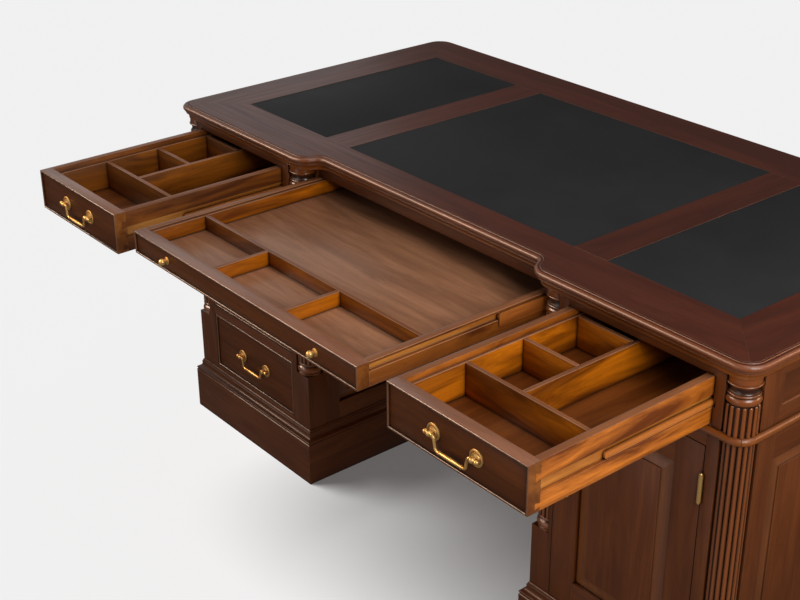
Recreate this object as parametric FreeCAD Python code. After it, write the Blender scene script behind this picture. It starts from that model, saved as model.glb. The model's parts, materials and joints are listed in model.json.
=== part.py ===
"""Partners desk in mahogany with a leather-lined top, two pedestals and three frieze drawers.

Millimetres, +Z up. The origin is on the floor at the centre of the stand, -Y is the drawer side and
+X is to the right of someone who sits there. The three frieze drawers stand open at rest.
"""
import FreeCAD
import Part
import math
import os

V = FreeCAD.Vector
os.makedirs("parts", exist_ok=True)

# ---------------------------------------------------------------- driving dimensions: the case
FACE_X = 786.0              # end faces of frieze and pedestals, from the middle
FACE_Y = 377.0              # front and back faces, from the middle
KNEE_X = 350.0              # faces of the pedestals towards the kneehole, from the middle
COLUMN_R = 26.0             # corner columns, and the rounding of the mouldings above them
NOTCH = 42.0                # square notch in each post that holds a column
PEDESTAL_TOP = 633.0        # floor to the top of a pedestal
ASTRAGAL_H = 14.0           # half-round moulding between pedestal and frieze
FRIEZE_H = 102.0            # frieze between astragal and cove moulding
COVE_H = 13.0               # cove moulding under the top
TOP_T = 18.0                # moulded border of the top
POST_DEPTH = 84.0           # posts, from the front face inwards
TOUCH = 0.5                 # what runs beside or on another piece stands this far off it
GAP = 1.0                   # visible gap round a drawer front

# ---------------------------------------------------------------- the top
BORDER = 106.5              # border from the leather to the quirk, at ends and sides
QUIRK = 1.5                 # quirk line, outside the face line
EDGE_PROUD = 14.0           # edge moulding beyond the face line
CROWN_DOWN = 2.0            # crown of the edge's big round below the writing surface
FILLET = 2.0                # thin fillet under the big round
QUIRK_BEAD = (2.0, 3.3, 4.6)    # fine bead beside the quirk: inner edge, crown and outer edge
COVE_FOOT = 2.0             # lower edge of the cove moulding beyond the face line
SWEEP_INNER = 18.0          # mouldings reach this far inside the face line
CONVEX_R = 30.5             # S-curve beside a pedestal, measured at the face line
CONCAVE_R = 33.5            # S-curve beside the recess, measured at the face line
S_OUT = 12.0                # centre of the S-curve's convex arc, outwards from the kneehole face
TORUS_R = 6.0               # big round of the edge
CROSSBAR_IN = 29.6          # inner edge of a crossbar, inwards from the kneehole face
CROSSBAR_W = 78.0
INLAY_T = 3.0               # crossbars, and the bed of the leather
LEATHER_T = 2.4

# ---------------------------------------------------------------- capitals, columns and plinths
# A step is (in from the radius or face, up from the foot). One with four numbers is an arc through
# its first spot to its second.
CAPITAL_R = 28.0
CAPITAL_STEPS = (
    (4.0, 0.0), (4.0, 53.0), (3.0, 54.0), (-0.7, 60.7, 3.0, 67.4), (3.0, 68.4), (1.0, 70.4, 3.0, 72.4),
    (3.0, 73.4), (4.5, 81.1, 0.5, 86.7), (-0.5, 88.2, 0.5, 89.7), (1.5, 89.9))
LOBES = 16                  # lobes round a whole capital
LOBE_R = 3.3
LOBE_FOOT_R = 3.6
LOBE_H = 53.0
LOBE_IN = 0.2               # lobes' crests inside the capital's radius
REEDS = 16                  # reeds round a whole column
REED_R = 4.4
BLOCK_TOP = 262.0           # top of a post's square block
FOOT_STEPS = (
    (0.0, 0.0), (0.0, 4.0), (1.5, 5.0), (-2.0, 12.0, 1.5, 19.0), (2.5, 20.0), (2.5, 22.0),
    (0.0, 25.0, 2.5, 28.0))
PLINTH_H = 130.0
PLINTH_PROUD = 14.0
PLINTH_T = 30.0
PLINTH_PLAIN = 100.0        # plain face of a plinth board, with the steps above it
PLINTH_STEPS = (
    (0.0, 0.0), (1.5, 1.5), (1.5, 4.0), (0.0, 6.0, 1.5, 8.0), (2.5, 9.0), (8.2, 12.6, 10.0, 21.0),
    (10.0, 24.0), (11.5, 25.0), (12.2, 28.0, 14.0, 30.0))
MITRE_IN = 100.0            # mitre seams of astragals and plinths start this far inside the faces

# ---------------------------------------------------------------- frieze drawers
KNEE_POST_W = 64.0          # post between a side drawer's opening and the kneehole face
END_POST_W = 61.0           # post between a side drawer's opening and the end face
SIDE_RAIL_T = 13.5          # rail above a side drawer
SIDE_FLOOR = 4.5            # floor board above the astragal
CENTRE_LAP = 7.0            # edge of the centre opening, inwards from the kneehole face
CENTRE_RAIL_T = 21.7        # rail above the centre drawer
CENTRE_DEPTH = 45.8         # height of the centre opening
CENTRE_RAIL_B = 25.5        # rail below the centre drawer
CENTRE_BOARD = 9.5          # floor board under the centre drawer
FRIEZE_OPEN = 390.0         # how far the side drawers stand open
CENTRE_OPEN = 432.0         # how far the centre drawer stands open
FRONT_T = 25.0
BOX_LENGTH = 502.0          # drawer box behind its front
SIDE_T = 14.0
BACK_T = 12.0
BOTTOM_T = 6.0
BOTTOM_UP = 7.0             # bottom board above the sides' lower edge
BEAD_W = 4.0                # cock bead round each drawer front
BEAD_ROUND = 1.8
QUIRK_W = 2.5               # groove beside the bead
BEAD_DEPTH = 4.0            # groove below the bead
FIELD_DEPTH = 3.0           # flat field below the bead
TAIL_LENGTH = 10.0          # half-blind dovetails into the front
TAIL_FLARE = 2.5
TAILS = ((4.0, 16.0), (49.0, 65.0))     # dovetails, above the sides' lower edge
TRAY_DOWN = 11.0            # tray walls below the drawer sides
TRAY_WALL = 6.0
DIVIDER_T = 8.5
TRAY_BAY = 143.0            # lengthwise divider from the drawer's left side
TRAY_FRONT = 121.0          # first cross divider behind the drawer front
TRAY_PITCH = 124.0          # spacing of the cross dividers
TRAY_CROSS = 3              # cross dividers of a side drawer's tray
CENTRE_TRAY_DOWN = 3.0      # centre drawer's tray walls below its sides
CENTRE_TRAY_FRONT = 124.0   # its long divider behind the drawer front
CENTRE_CELLS = (-111.0, 104.0)  # its short dividers, from the middle

# ---------------------------------------------------------------- loose slides of the frieze drawers
GUIDE_T = 14.0
SLOT_H = 22.0               # slot of a side drawer's slide
SLOT_UP = 29.0              # slot above the side's lower edge
CENTRE_SLOT_H = 13.0
CENTRE_SLOT_UP = 27.0
SLOT_IN_SIDE = 7.0
SLOT_IN_GUIDE = 4.0
SLIDE_H = 12.0              # slot of a side slide in post and guide, level with the drawer slot's foot
CENTRE_SLIDE_LIP = 14.0     # outer part of a centre slide reaches this far below its tongue
SIDE_NOSE = (-0.5, 247.0)   # slimmer front part of a slide: off the drawer's side, and its length
CENTRE_NOSE = (2.5, 147.0)
NOSE_ROUND = 4.0
SLIDE_LENGTH = 420.0
SLIDE_REST = 5.0            # a slide's end behind the shut drawer's front
SIDE_SHARE = 0.68           # slide's travel for the side drawer's
CENTRE_SHARE = 0.375        # slide's travel for the centre drawer's

# ---------------------------------------------------------------- pedestals
DRAWER_POST_W = 60.0        # post between the pedestal drawers' opening and the kneehole face
DOOR_POST_W = 50.0          # post between a door's opening and the kneehole face
CASE_POST_W = 66.0          # post between both openings and the end face
PEDESTAL_DRAWERS = 3
DRAWER_RAIL = 23.0
DRAWER_RAIL_B = 10.0
DRAWER_RAIL_T = 36.0
RAIL_DEPTH = 45.0
RUNNER_W = 28.0
DOOR_RAIL_T = 24.0
DOOR_T = 22.0
DOOR_GAP = 1.5
STILE = 57.0
DOOR_RAIL = 57.0
BOARD_T = 16.0
SHELF_Z = 372.0
FRAME_T = 22.0              # side rails and frieze end boards
SIDE_PANEL_B = 42.0         # side panel's opening above the plinth
SIDE_PANEL_T = 51.0         # side panel's opening below the pedestal's top
PANEL_T = 18.0
PANEL_SET = 1.0             # panel's field below its frame
PANEL_STEP = 3.0            # shoulder round the field
PANEL_EDGE = 9.0            # panel's edge below its frame
TONGUE = 5.0
SIDE_BEVEL = 23.0
DOOR_BEVEL = 27.0
PEDESTAL_SIDE_T = 12.0
PEDESTAL_BOX_DOWN = 20.0    # box sides below the top of their front
PEDESTAL_BOX_BACK = 12.0    # shut box in front of the dividing board's middle

# ---------------------------------------------------------------- frieze ends
END_PANEL_MARGIN = 5.0      # recess from the post
END_PANEL_B = 26.0          # recess above the astragal
END_PANEL_T = 14.0          # recess below the cove
END_RECESS = 6.0

# ---------------------------------------------------------------- brass
HANDLE_SPAN = 94.0          # between the two posts of a handle
HANDLE_OUT = 9.0            # bail's axis in front of the field
ROSETTE_R = 14.2
ROSETTE_STEPS = ((0.0, 0.0), (0.0, 1.6), (1.2, 2.6), (2.8, 2.6), (3.6, 1.4), (4.6, 1.4), (5.4, 3.4),
                 (7.0, 3.8), (9.4, 4.6), (11.0, 5.2))
EYE_R = 4.4
EYE_STEPS = ((1.2, -3.4), (0.0, -2.8), (0.0, 2.6), (1.0, 4.2), (2.8, 5.2), (4.4, 5.4))
ROD_R = 2.3
ROD_FIT = 0.06
HANDLE_UP = 1.5             # frieze drawers' handles above the middle of the front
BAIL_DROP = 23.0
BAIL_INSET = 14.0           # low corners of the bail inside the posts
BAIL_BEND = 4.5             # bend below each post, along its arms
BAIL_ELBOW = 5.5            # bend at each low corner, along its arms
BAIL_COLLAR = (0.6, 2.4, 3.4)   # collar beside each eye: its ends, from the eye, and its radius
BAIL_RING = (1.5, 3.5, 3.5)     # ring at each end of the grip: its ends, from the elbow, and its radius
GRIP_R = 3.4
GRIP_TAPER = 0.25           # grip is thinner by this, halfway to each end
BALL_R = 4.0                # ball at each end of a bail
KNOB_IN = 114.3             # centre drawer's knobs, inwards from the edge of its opening
KNOB_R = 6.5
KNOB_OUT = 4.5              # ball of a knob in front of the field
KNOB_STEPS = ((-1.0, 0.0), (-1.0, 1.0), (0.5, 2.0), (3.25, 3.0))
KNOB_FACETS = 10
HINGE_H = 51.0
HINGE_R = 3.5
HINGE_OUT = 3.8             # hinge pin in front of the face
HINGE_END = 77.0            # hinge's middle from the door's top and bottom
LEAF_T = 1.2
LEAF_W = 18.0
PIN_R = 1.5
PIN_TIP_R = 2.8
PIN_TIP_OUT = 1.0           # round tips of a pin beyond its hinge
PIN_FIT = 0.05
KNUCKLE_GAP = 0.3
KNUCKLES = 5

# ---------------------------------------------------------------- derived places
CORNER_X = FACE_X - COLUMN_R
CORNER_Y = FACE_Y - COLUMN_R
KNEE_COLUMN_X = KNEE_X + COLUMN_R
OPENING_IN = KNEE_X + KNEE_POST_W
OPENING_OUT = FACE_X - END_POST_W
CENTRE_HALF = KNEE_X - CENTRE_LAP
DRAWER_IN = KNEE_X + DRAWER_POST_W
DOOR_IN = KNEE_X + DOOR_POST_W
CASE_OUT = FACE_X - CASE_POST_W
S_CENTRE_X = KNEE_X + S_OUT
CROSSBAR_X = KNEE_X - CROSSBAR_IN
KNOB_X = CENTRE_HALF - KNOB_IN
FRIEZE_Z0 = PEDESTAL_TOP + ASTRAGAL_H
FRIEZE_Z1 = FRIEZE_Z0 + FRIEZE_H
TOP_Z0 = FRIEZE_Z1 + COVE_H
TOP_Z1 = TOP_Z0 + TOP_T
CORE_Z1 = TOP_Z1 - INLAY_T
LEATHER_X = FACE_X + QUIRK - BORDER
LEATHER_Y = FACE_Y + QUIRK - BORDER
CENTRE_Y = FACE_Y - NOTCH
POST_Y = FACE_Y - POST_DEPTH
CENTRE_OPENING_Z1 = FRIEZE_Z1 - CENTRE_RAIL_T
CENTRE_OPENING_Z0 = CENTRE_OPENING_Z1 - CENTRE_DEPTH
SIDE_OPENING_Z0 = FRIEZE_Z0 + SIDE_FLOOR
SIDE_OPENING_Z1 = FRIEZE_Z1 - SIDE_RAIL_T
BLOCK_WALL_X = FACE_X - NOTCH
HOLLOW = 1 - math.cos(math.radians(45))     # a quarter round's middle, as a share of its radius


# ---------------------------------------------------------------- plain helpers
def box(x0, x1, y0, y1, z0, z1):
    """A block between two opposite corners."""
    return Part.makeBox(x1 - x0, y1 - y0, z1 - z0, V(x0, y0, z0))


def flip_x(shape):
    """The shape's mirror image on the other side of the desk's middle, left to right."""
    return shape.mirror(V(0, 0, 0), V(1, 0, 0))


def flip_y(shape):
    """The shape's mirror image, front to back."""
    return shape.mirror(V(0, 0, 0), V(0, 1, 0))


def both_ends(shapes):
    """The shapes and their mirror images, left and right."""
    return shapes + [flip_x(shape) for shape in shapes]


def both_faces(shapes):
    """The shapes and their mirror images, front and back."""
    return shapes + [flip_y(shape) for shape in shapes]


def moved(shape, x=0.0, y=0.0, z=0.0):
    """A copy of the shape, moved."""
    copy = shape.copy()
    copy.translate(V(x, y, z))
    return copy


def about_kneehole(shape):
    """The image of a pedestal's outer side on its kneehole side."""
    return shape.mirror(V((KNEE_X + FACE_X) / 2, 0, 0), V(1, 0, 0))


def plate(points, z0, z1):
    """A flat plate from its outline in plan."""
    corners = [V(x, y, z0) for x, y in points]
    face = Part.Face(Part.makePolygon(corners + corners[:1]))
    return face.extrude(V(0, 0, z1 - z0))


def section(pieces):
    """An upright face in the XZ plane, from its outline.

    pieces are (x, z) points, and ("arc", middle, end) for a round stretch from the point before.
    """
    edges = []
    here = pieces[0]
    for piece in pieces[1:] + pieces[:1]:
        if piece[0] == "arc":
            middle, end = piece[1:]
            edges.append(Part.Arc(*[V(p[0], 0, p[1]) for p in (here, middle, end)]).toShape())
            here = end
        elif math.dist(here, piece) > 1e-6:
            edges.append(Part.makeLine(V(here[0], 0, here[1]), V(piece[0], 0, piece[1])))
            here = piece
    return Part.Face(Part.Wire(edges))


def stepped(reach, foot, steps):
    """Pieces of a section from a table of steps, inwards from reach and upwards from foot."""
    pieces = []
    for step in steps:
        spots = [(reach - step[i], foot + step[i + 1]) for i in range(0, len(step), 2)]
        pieces.append(spots[0] if len(spots) == 1 else ("arc", *spots))
    return pieces


def turned(pieces):
    """A turned piece on an upright axis, from the (radius, height) outline of one half."""
    return section(pieces).revolve(V(0, 0, 0), V(0, 0, 1), 360)


def turned_forward(pieces, x, y, z):
    """A turned piece on an axis towards -Y, from its (radius, distance in front of y) outline."""
    piece = turned(pieces)
    piece.rotate(V(0, 0, 0), V(1, 0, 0), 90)
    return moved(piece, x, y, z)


def rod(radius, start, end):
    """A round rod from start to end."""
    way = end - start
    return Part.makeCylinder(radius, way.Length, start, way)


def rounded_corner(before, corner, after, reach):
    """A path's rounded corner: where its arc starts, the arc, and where it ends, reach along each arm."""
    back, ahead = (before - corner).normalize(), (after - corner).normalize()
    half = back.getAngle(ahead) / 2
    start, end = corner + back * reach, corner + ahead * reach
    radius = reach * math.tan(half)
    middle = corner + (back + ahead).normalize() * (radius / math.sin(half) - radius)
    return start, Part.Arc(start, middle, end).toShape(), end


def joined(shapes):
    """Shapes that touch or overlap, as one solid."""
    whole = shapes[0].multiFuse(shapes[1:]).removeSplitter()
    return whole.Solids[0] if len(whole.Solids) == 1 else whole


def cut_from(shape, tools):
    """The shape without the tools."""
    return shape.cut(Part.makeCompound(tools)) if tools else shape


def main_piece(shape):
    """The largest solid of a shape, without the offcuts."""
    return max(shape.Solids, key=lambda solid: solid.Volume)


def save(node, shapes):
    """Writes one sub-part and prints its solids and volume."""
    solids = [solid for shape in shapes for solid in shape.Solids]
    bad = [solid for solid in solids if not solid.isValid() or solid.Volume <= 0]
    whole = solids[0] if len(solids) == 1 else Part.makeCompound(solids)
    whole.exportStep(f"parts/{node}.step")
    print(f"{node}: {len(solids)} solids, {whole.Volume / 1000:.1f} cm3, {len(bad)} bad")


# ---------------------------------------------------------------- outlines with mouldings
class Outline:
    """A closed outline in plan, of straight and round stretches, that mouldings follow.

    Offsets are measured outwards from the outline. A stretch is ("line", start, end) or
    ("arc", centre, radius, first angle, last angle), anticlockwise. An arc whose angle falls is
    hollow: its centre lies outside.
    """

    def __init__(self, stretches):
        self.stretches = stretches

    def edge(self, stretch, offset, z):
        """One stretch at an offset and height."""
        if stretch[0] == "line":
            start, end = stretch[1:]
            way = V(end[0] - start[0], end[1] - start[1], 0).normalize()
            out = V(way.y, -way.x, 0) * offset
            return Part.makeLine(V(*start, z) + out, V(*end, z) + out)
        centre, radius, first, last = stretch[1:]
        reach = radius + offset if last > first else radius - offset
        spots = [first, (first + last) / 2, last]
        return Part.Arc(*[V(centre[0] + reach * math.cos(math.radians(a)),
                            centre[1] + reach * math.sin(math.radians(a)), z) for a in spots]).toShape()

    def plate(self, offset, z0, z1):
        """A plate of the outline's shape at an offset."""
        wire = Part.Wire([self.edge(stretch, offset, z0) for stretch in self.stretches])
        return Part.Face(wire).extrude(V(0, 0, z1 - z0))

    def moulding(self, profile):
        """A moulding round the outline. profile is its (offset, height) section."""
        runs = []
        for stretch in self.stretches:
            if stretch[0] == "line":
                start, end = stretch[1:]
                way = V(end[0] - start[0], end[1] - start[1], 0)
                turn = math.degrees(math.atan2(-way.x, way.y))
                runs.append(self.placed(profile, start, 0.0, turn).extrude(way))
                continue
            centre, radius, first, last = stretch[1:]
            face = profile if last > first else flip_x(profile)
            face = self.placed(face, centre, radius, first)
            runs.append(face.revolve(V(*centre, 0), V(0, 0, 1), last - first))
        return joined(runs)

    @staticmethod
    def placed(profile, spot, shift, turn):
        """The profile, shifted outwards, turned and moved to a spot."""
        copy = profile.copy()
        copy.translate(V(shift, 0, 0))
        copy.rotate(V(0, 0, 0), V(0, 0, 1), turn)
        copy.translate(V(*spot, 0))
        return copy


def top_outline():
    """The face line of the top: round corners, and a front whose middle stands back on two S-curves."""
    bend = CONVEX_R + CONCAVE_R
    sweep = math.degrees(math.acos(1 - NOTCH / bend))
    inner_x = S_CENTRE_X - bend * math.sin(math.radians(sweep))
    hollow_y = -CENTRE_Y - CONCAVE_R
    round_y = -FACE_Y + CONVEX_R
    right, top = CORNER_X, CORNER_Y
    return Outline([
        ("arc", (-right, -top), COLUMN_R, 180, 270),
        ("line", (-right, -FACE_Y), (-S_CENTRE_X, -FACE_Y)),
        ("arc", (-S_CENTRE_X, round_y), CONVEX_R, -90, -90 + sweep),
        ("arc", (-inner_x, hollow_y), CONCAVE_R, 90 + sweep, 90),
        ("line", (-inner_x, -CENTRE_Y), (inner_x, -CENTRE_Y)),
        ("arc", (inner_x, hollow_y), CONCAVE_R, 90, 90 - sweep),
        ("arc", (S_CENTRE_X, round_y), CONVEX_R, -90 - sweep, -90),
        ("line", (S_CENTRE_X, -FACE_Y), (right, -FACE_Y)),
        ("arc", (right, -top), COLUMN_R, -90, 0),
        ("line", (FACE_X, -top), (FACE_X, top)),
        ("arc", (right, top), COLUMN_R, 0, 90),
        ("line", (right, FACE_Y), (-right, FACE_Y)),
        ("arc", (-right, top), COLUMN_R, 90, 180),
        ("line", (-FACE_X, top), (-FACE_X, -top)),
    ])


def pedestal_outline():
    """The face line of the right pedestal, with round corners."""
    left, right, top = KNEE_COLUMN_X, CORNER_X, CORNER_Y
    return Outline([
        ("arc", (left, -top), COLUMN_R, 180, 270),
        ("line", (left, -FACE_Y), (right, -FACE_Y)),
        ("arc", (right, -top), COLUMN_R, -90, 0),
        ("line", (FACE_X, -top), (FACE_X, top)),
        ("arc", (right, top), COLUMN_R, 0, 90),
        ("line", (right, FACE_Y), (left, FACE_Y)),
        ("arc", (left, top), COLUMN_R, 90, 180),
        ("line", (KNEE_X, top), (KNEE_X, -top)),
    ])


def mitre_wedges(x0, x1, y0, y1, corners, z0, z1):
    """Front, right, back and left wedges whose seams run from an inner rectangle through corners."""
    reach = 2.0
    (cx0, cx1), (cy0, cy1) = corners
    far_x0, far_x1 = x0 + (cx0 - x0) * reach, x1 + (cx1 - x1) * reach
    far_y0, far_y1 = y0 + (cy0 - y0) * reach, y1 + (cy1 - y1) * reach
    inner = [(x0, y0), (x1, y0), (x1, y1), (x0, y1)]
    outer = [(far_x0, far_y0), (far_x1, far_y0), (far_x1, far_y1), (far_x0, far_y1)]
    wedges = []
    for i in range(4):
        j = (i + 1) % 4
        wedges.append(plate([inner[i], outer[i], outer[j], inner[j]], z0, z1))
    return wedges


# ---------------------------------------------------------------- framed pieces that face -Y
def height_field(span, rises, x0, x1, z0, z1, face_y, thickness):
    """A panel whose face rises inwards from all four edges.

    rises lists (distance from the edge, depth below face_y), from the edge inwards.
    """
    back = face_y + thickness
    across = [(x0, back)] + [(x0 + d, face_y + low) for d, low in rises]
    across += [(x1 - d, face_y + low) for d, low in reversed(rises)] + [(x1, back)]
    upward = [(z0, back)] + [(z0 + d, face_y + low) for d, low in rises]
    upward += [(z1 - d, face_y + low) for d, low in reversed(rises)] + [(z1, back)]
    wide = plate(across, z0, z1)
    corners = [V(x0, y, z) for z, y in upward]
    tall = Part.Face(Part.makePolygon(corners + corners[:1])).extrude(V(span, 0, 0))
    return wide.common(tall)


def fielded_panel(x0, x1, z0, z1, frame_y, bevel):
    """A raised and fielded panel whose opening is x0..x1, z0..z1 in a frame with its face at frame_y."""
    rises = [(0.0, PANEL_EDGE), (TONGUE, PANEL_EDGE), (TONGUE + bevel, PANEL_SET + PANEL_STEP),
             (TONGUE + bevel, PANEL_SET)]
    span = x1 - x0 + 2 * TONGUE
    return height_field(span, rises, x0 - TONGUE, x1 + TONGUE, z0 - TONGUE, z1 + TONGUE,
                        frame_y, PANEL_SET + PANEL_T)


def beaded_front(x0, x1, z0, z1, face_y):
    """A drawer front with a cock bead round a slightly sunk field."""
    front = box(x0, x1, face_y, face_y + FRONT_T, z0, z1)
    inner = (x0 + BEAD_W, x1 - BEAD_W, z0 + BEAD_W, z1 - BEAD_W)
    front = front.cut(box(*inner[:2], face_y, face_y + BEAD_DEPTH, *inner[2:]))
    rim = [edge for edge in front.Edges
           if all(abs(vertex.Y - face_y) < 1e-6 for vertex in edge.Vertexes)]
    front = front.makeFillet(BEAD_ROUND, rim)
    field = box(inner[0] + QUIRK_W, inner[1] - QUIRK_W, face_y + FIELD_DEPTH, face_y + BEAD_DEPTH,
                inner[2] + QUIRK_W, inner[3] - QUIRK_W)
    return joined([front, field])


def turned_to_side(shape):
    """A piece that faces -Y, turned to face +X."""
    copy = shape.copy()
    copy.rotate(V(0, 0, 0), V(0, 0, 1), 90)
    return copy


# ---------------------------------------------------------------- brass
def handle_posts(x, field_y, z):
    """Two stepped rosettes, each with a stem and an eye for the bail."""
    outline = [(0, 0), *stepped(ROSETTE_R, 0, ROSETTE_STEPS), *stepped(EYE_R, HANDLE_OUT, EYE_STEPS)]
    posts = []
    for side in (-1, 1):
        post_x = x + side * HANDLE_SPAN / 2
        bore = rod(ROD_R + ROD_FIT, V(post_x - ROSETTE_R, field_y - HANDLE_OUT, z),
                   V(post_x + ROSETTE_R, field_y - HANDLE_OUT, z))
        posts.append(turned_forward(outline, post_x, field_y, z).cut(bore))
    return posts


def bail(x, field_y, z):
    """A swan-neck bail that hangs from its two pins."""
    y = field_y - HANDLE_OUT
    pin_x = HANDLE_SPAN / 2
    eye_x = pin_x - EYE_R
    neck_x = eye_x - TOUCH - BAIL_BEND
    low_x = pin_x - BAIL_INSET
    grip_x = low_x - BAIL_ELBOW
    end_x = pin_x + EYE_R + BALL_R + TOUCH
    low = -BAIL_DROP
    collar_near, collar_far, collar_r = BAIL_COLLAR
    ring_near, ring_far, ring_r = BAIL_RING
    solids = []
    for side in (-1, 1):
        def spot(dx, dz):
            return V(x + side * dx, y, z + dz)
        start, neck, corner, end = spot(end_x, 0), spot(neck_x, 0), spot(low_x, low), spot(0, low)
        bend_in, bend, bend_out = rounded_corner(start, neck, corner, BAIL_BEND)
        elbow_in, elbow, elbow_out = rounded_corner(neck, corner, end, BAIL_ELBOW)
        path = Part.Wire([Part.makeLine(start, bend_in), bend, Part.makeLine(bend_out, elbow_in), elbow,
                          Part.makeLine(elbow_out, end)])
        circle = Part.Wire(Part.makeCircle(ROD_R, start, V(1, 0, 0)))
        solids.append(path.makePipeShell([circle], True, True))
        solids.append(Part.makeSphere(BALL_R, start))
        solids.append(rod(collar_r, spot(eye_x - collar_far, 0), spot(eye_x - collar_near, 0)))
        solids.append(rod(ring_r, spot(grip_x - ring_far, low), spot(grip_x - ring_near, low)))
    belly = GRIP_R - GRIP_TAPER
    outline = [(-grip_x, 0), (-grip_x, ROD_R), (-grip_x / 2, belly), (0, GRIP_R), (grip_x / 2, belly),
               (grip_x, ROD_R), (grip_x, 0)]
    corners = [V(x + along, y, z + low + r) for along, r in outline]
    grip = Part.Face(Part.makePolygon(corners + corners[:1]))
    solids.append(grip.revolve(V(x, y, z + low), V(1, 0, 0), 360))
    return [joined(solids)]


def ball_knob(x, field_y, z):
    """A ball knob on a small backplate, facing -Y."""
    outline = [(0, 0), *stepped(KNOB_R, 0, KNOB_STEPS)]
    neck = outline[-1][0]
    centre = KNOB_R + KNOB_OUT
    first = math.acos(neck / KNOB_R)
    for i in range(KNOB_FACETS):
        angle = -first + (first + math.pi / 2) * i / KNOB_FACETS
        outline.append((KNOB_R * math.cos(angle), centre + KNOB_R * math.sin(angle)))
    outline.append((0, centre + KNOB_R))
    return turned_forward(outline, x, field_y, z)


# ---------------------------------------------------------------- the top
def seam_wedges(z0, z1):
    """The four wedges that the top's mitred borders and cove mouldings fill."""
    return mitre_wedges(-LEATHER_X, LEATHER_X, -LEATHER_Y, LEATHER_Y,
                        ((-CORNER_X, CORNER_X), (-CORNER_Y, CORNER_Y)), z0, z1)


def make_top():
    """Borders, core board, crossbars, leather and the cove moulding under them."""
    outline = top_outline()
    torus_x = EDGE_PROUD - TORUS_R
    crown = TOP_Z1 - CROWN_DOWN
    torus_z = crown - TORUS_R
    fillet_x = torus_x + FILLET
    fillet_z = TOP_Z0 + FILLET
    bead_in, bead_x, bead_out = QUIRK_BEAD
    edge = section([
        (-SWEEP_INNER, TOP_Z0), (torus_x, TOP_Z0), (torus_x, fillet_z), (fillet_x, fillet_z),
        (fillet_x, torus_z - math.sqrt(TORUS_R ** 2 - FILLET ** 2)),
        ("arc", (EDGE_PROUD, torus_z), (torus_x, crown)),
        (bead_out, crown), ("arc", (bead_x, crown + bead_out - bead_x), (bead_in, crown)),
        (QUIRK, crown), (QUIRK, TOP_Z1), (-SWEEP_INNER, TOP_Z1)])
    leather_hole = box(-LEATHER_X, LEATHER_X, -LEATHER_Y, LEATHER_Y, TOP_Z0, TOP_Z1)
    field = outline.plate(-SWEEP_INNER, TOP_Z0, TOP_Z1).cut(leather_hole)
    border = joined([outline.moulding(edge), field])
    front, right, back, left = [border.common(wedge) for wedge in seam_wedges(TOP_Z0, TOP_Z1)]
    save("top_border_long", [front, back])
    save("top_border_ends", [left, right])
    save("top_core", [box(-LEATHER_X, LEATHER_X, -LEATHER_Y, LEATHER_Y, TOP_Z0, CORE_Z1)])
    bar_out = CROSSBAR_X + CROSSBAR_W
    save("top_crossbars", both_ends([box(CROSSBAR_X, bar_out, -LEATHER_Y, LEATHER_Y, CORE_Z1, TOP_Z1)]))
    leather_z = CORE_Z1 + LEATHER_T
    save("leather_panels", [box(-CROSSBAR_X, CROSSBAR_X, -LEATHER_Y, LEATHER_Y, CORE_Z1, leather_z)]
         + both_ends([box(bar_out, LEATHER_X, -LEATHER_Y, LEATHER_Y, CORE_Z1, leather_z)]))
    cove_top = TOP_Z0 - FILLET
    cove_foot = FRIEZE_Z1 + FILLET
    cove = section([
        (-SWEEP_INNER, FRIEZE_Z1), (COVE_FOOT, FRIEZE_Z1), (COVE_FOOT, cove_foot),
        ("arc", (COVE_FOOT + (torus_x - COVE_FOOT) * HOLLOW, cove_top - (cove_top - cove_foot) * HOLLOW),
         (torus_x, cove_top)),
        (torus_x, TOP_Z0), (-SWEEP_INNER, TOP_Z0)])
    ring = outline.moulding(cove)
    save("cove_moulding", [ring.common(wedge) for wedge in seam_wedges(FRIEZE_Z1, TOP_Z0)])


# ---------------------------------------------------------------- the frieze
def slot_heights(lower, slot_up, slot_h):
    """Lower and upper edge of a slide's slot, from the drawer side's lower edge."""
    return lower + slot_up, lower + slot_up + slot_h


def side_slot():
    """Lower and upper edge of the side drawers' slots."""
    return slot_heights(SIDE_OPENING_Z0 + TOUCH, SLOT_UP, SLOT_H)


def centre_slot():
    """Lower and upper edge of the centre drawer's slots."""
    return slot_heights(CENTRE_OPENING_Z0 + TOUCH, CENTRE_SLOT_UP, CENTRE_SLOT_H)


def guide_slots():
    """Lower and upper edge of the slots in posts and guides: the side drawers' and the centre's."""
    side_low, _ = side_slot()
    centre_low, centre_high = centre_slot()
    return (side_low, side_low + SLIDE_H), (centre_low - CENTRE_SLIDE_LIP, centre_high)


def frieze_posts():
    """The right half's posts, with notches for the capitals and slots for the slides."""
    z0, z1 = FRIEZE_Z0, FRIEZE_Z1
    (low, high), (centre_low, centre_high) = guide_slots()
    outer = box(OPENING_OUT, FACE_X, POST_Y, FACE_Y, z0, z1)
    outer = outer.cut(box(BLOCK_WALL_X, FACE_X, CENTRE_Y, FACE_Y, z0, z1))
    inner = box(CENTRE_HALF, OPENING_IN, POST_Y, FACE_Y, z0, z1)
    back_notch = box(KNEE_X, KNEE_X + NOTCH, CENTRE_Y, FACE_Y, z0, z1)
    front_notch = box(CENTRE_HALF, KNEE_X + NOTCH, -FACE_Y, -CENTRE_Y, z0, z1)
    slots = [box(OPENING_OUT, OPENING_OUT + SLOT_IN_GUIDE, -FACE_Y, -POST_Y, low, high),
             box(OPENING_IN - SLOT_IN_GUIDE, OPENING_IN, -FACE_Y, -POST_Y, low, high),
             box(CENTRE_HALF, CENTRE_HALF + SLOT_IN_GUIDE, -CENTRE_Y, -POST_Y, centre_low, centre_high)]
    return [outer, inner.cut(back_notch), cut_from(flip_y(outer), slots),
            cut_from(flip_y(inner), slots + [front_notch])]


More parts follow.
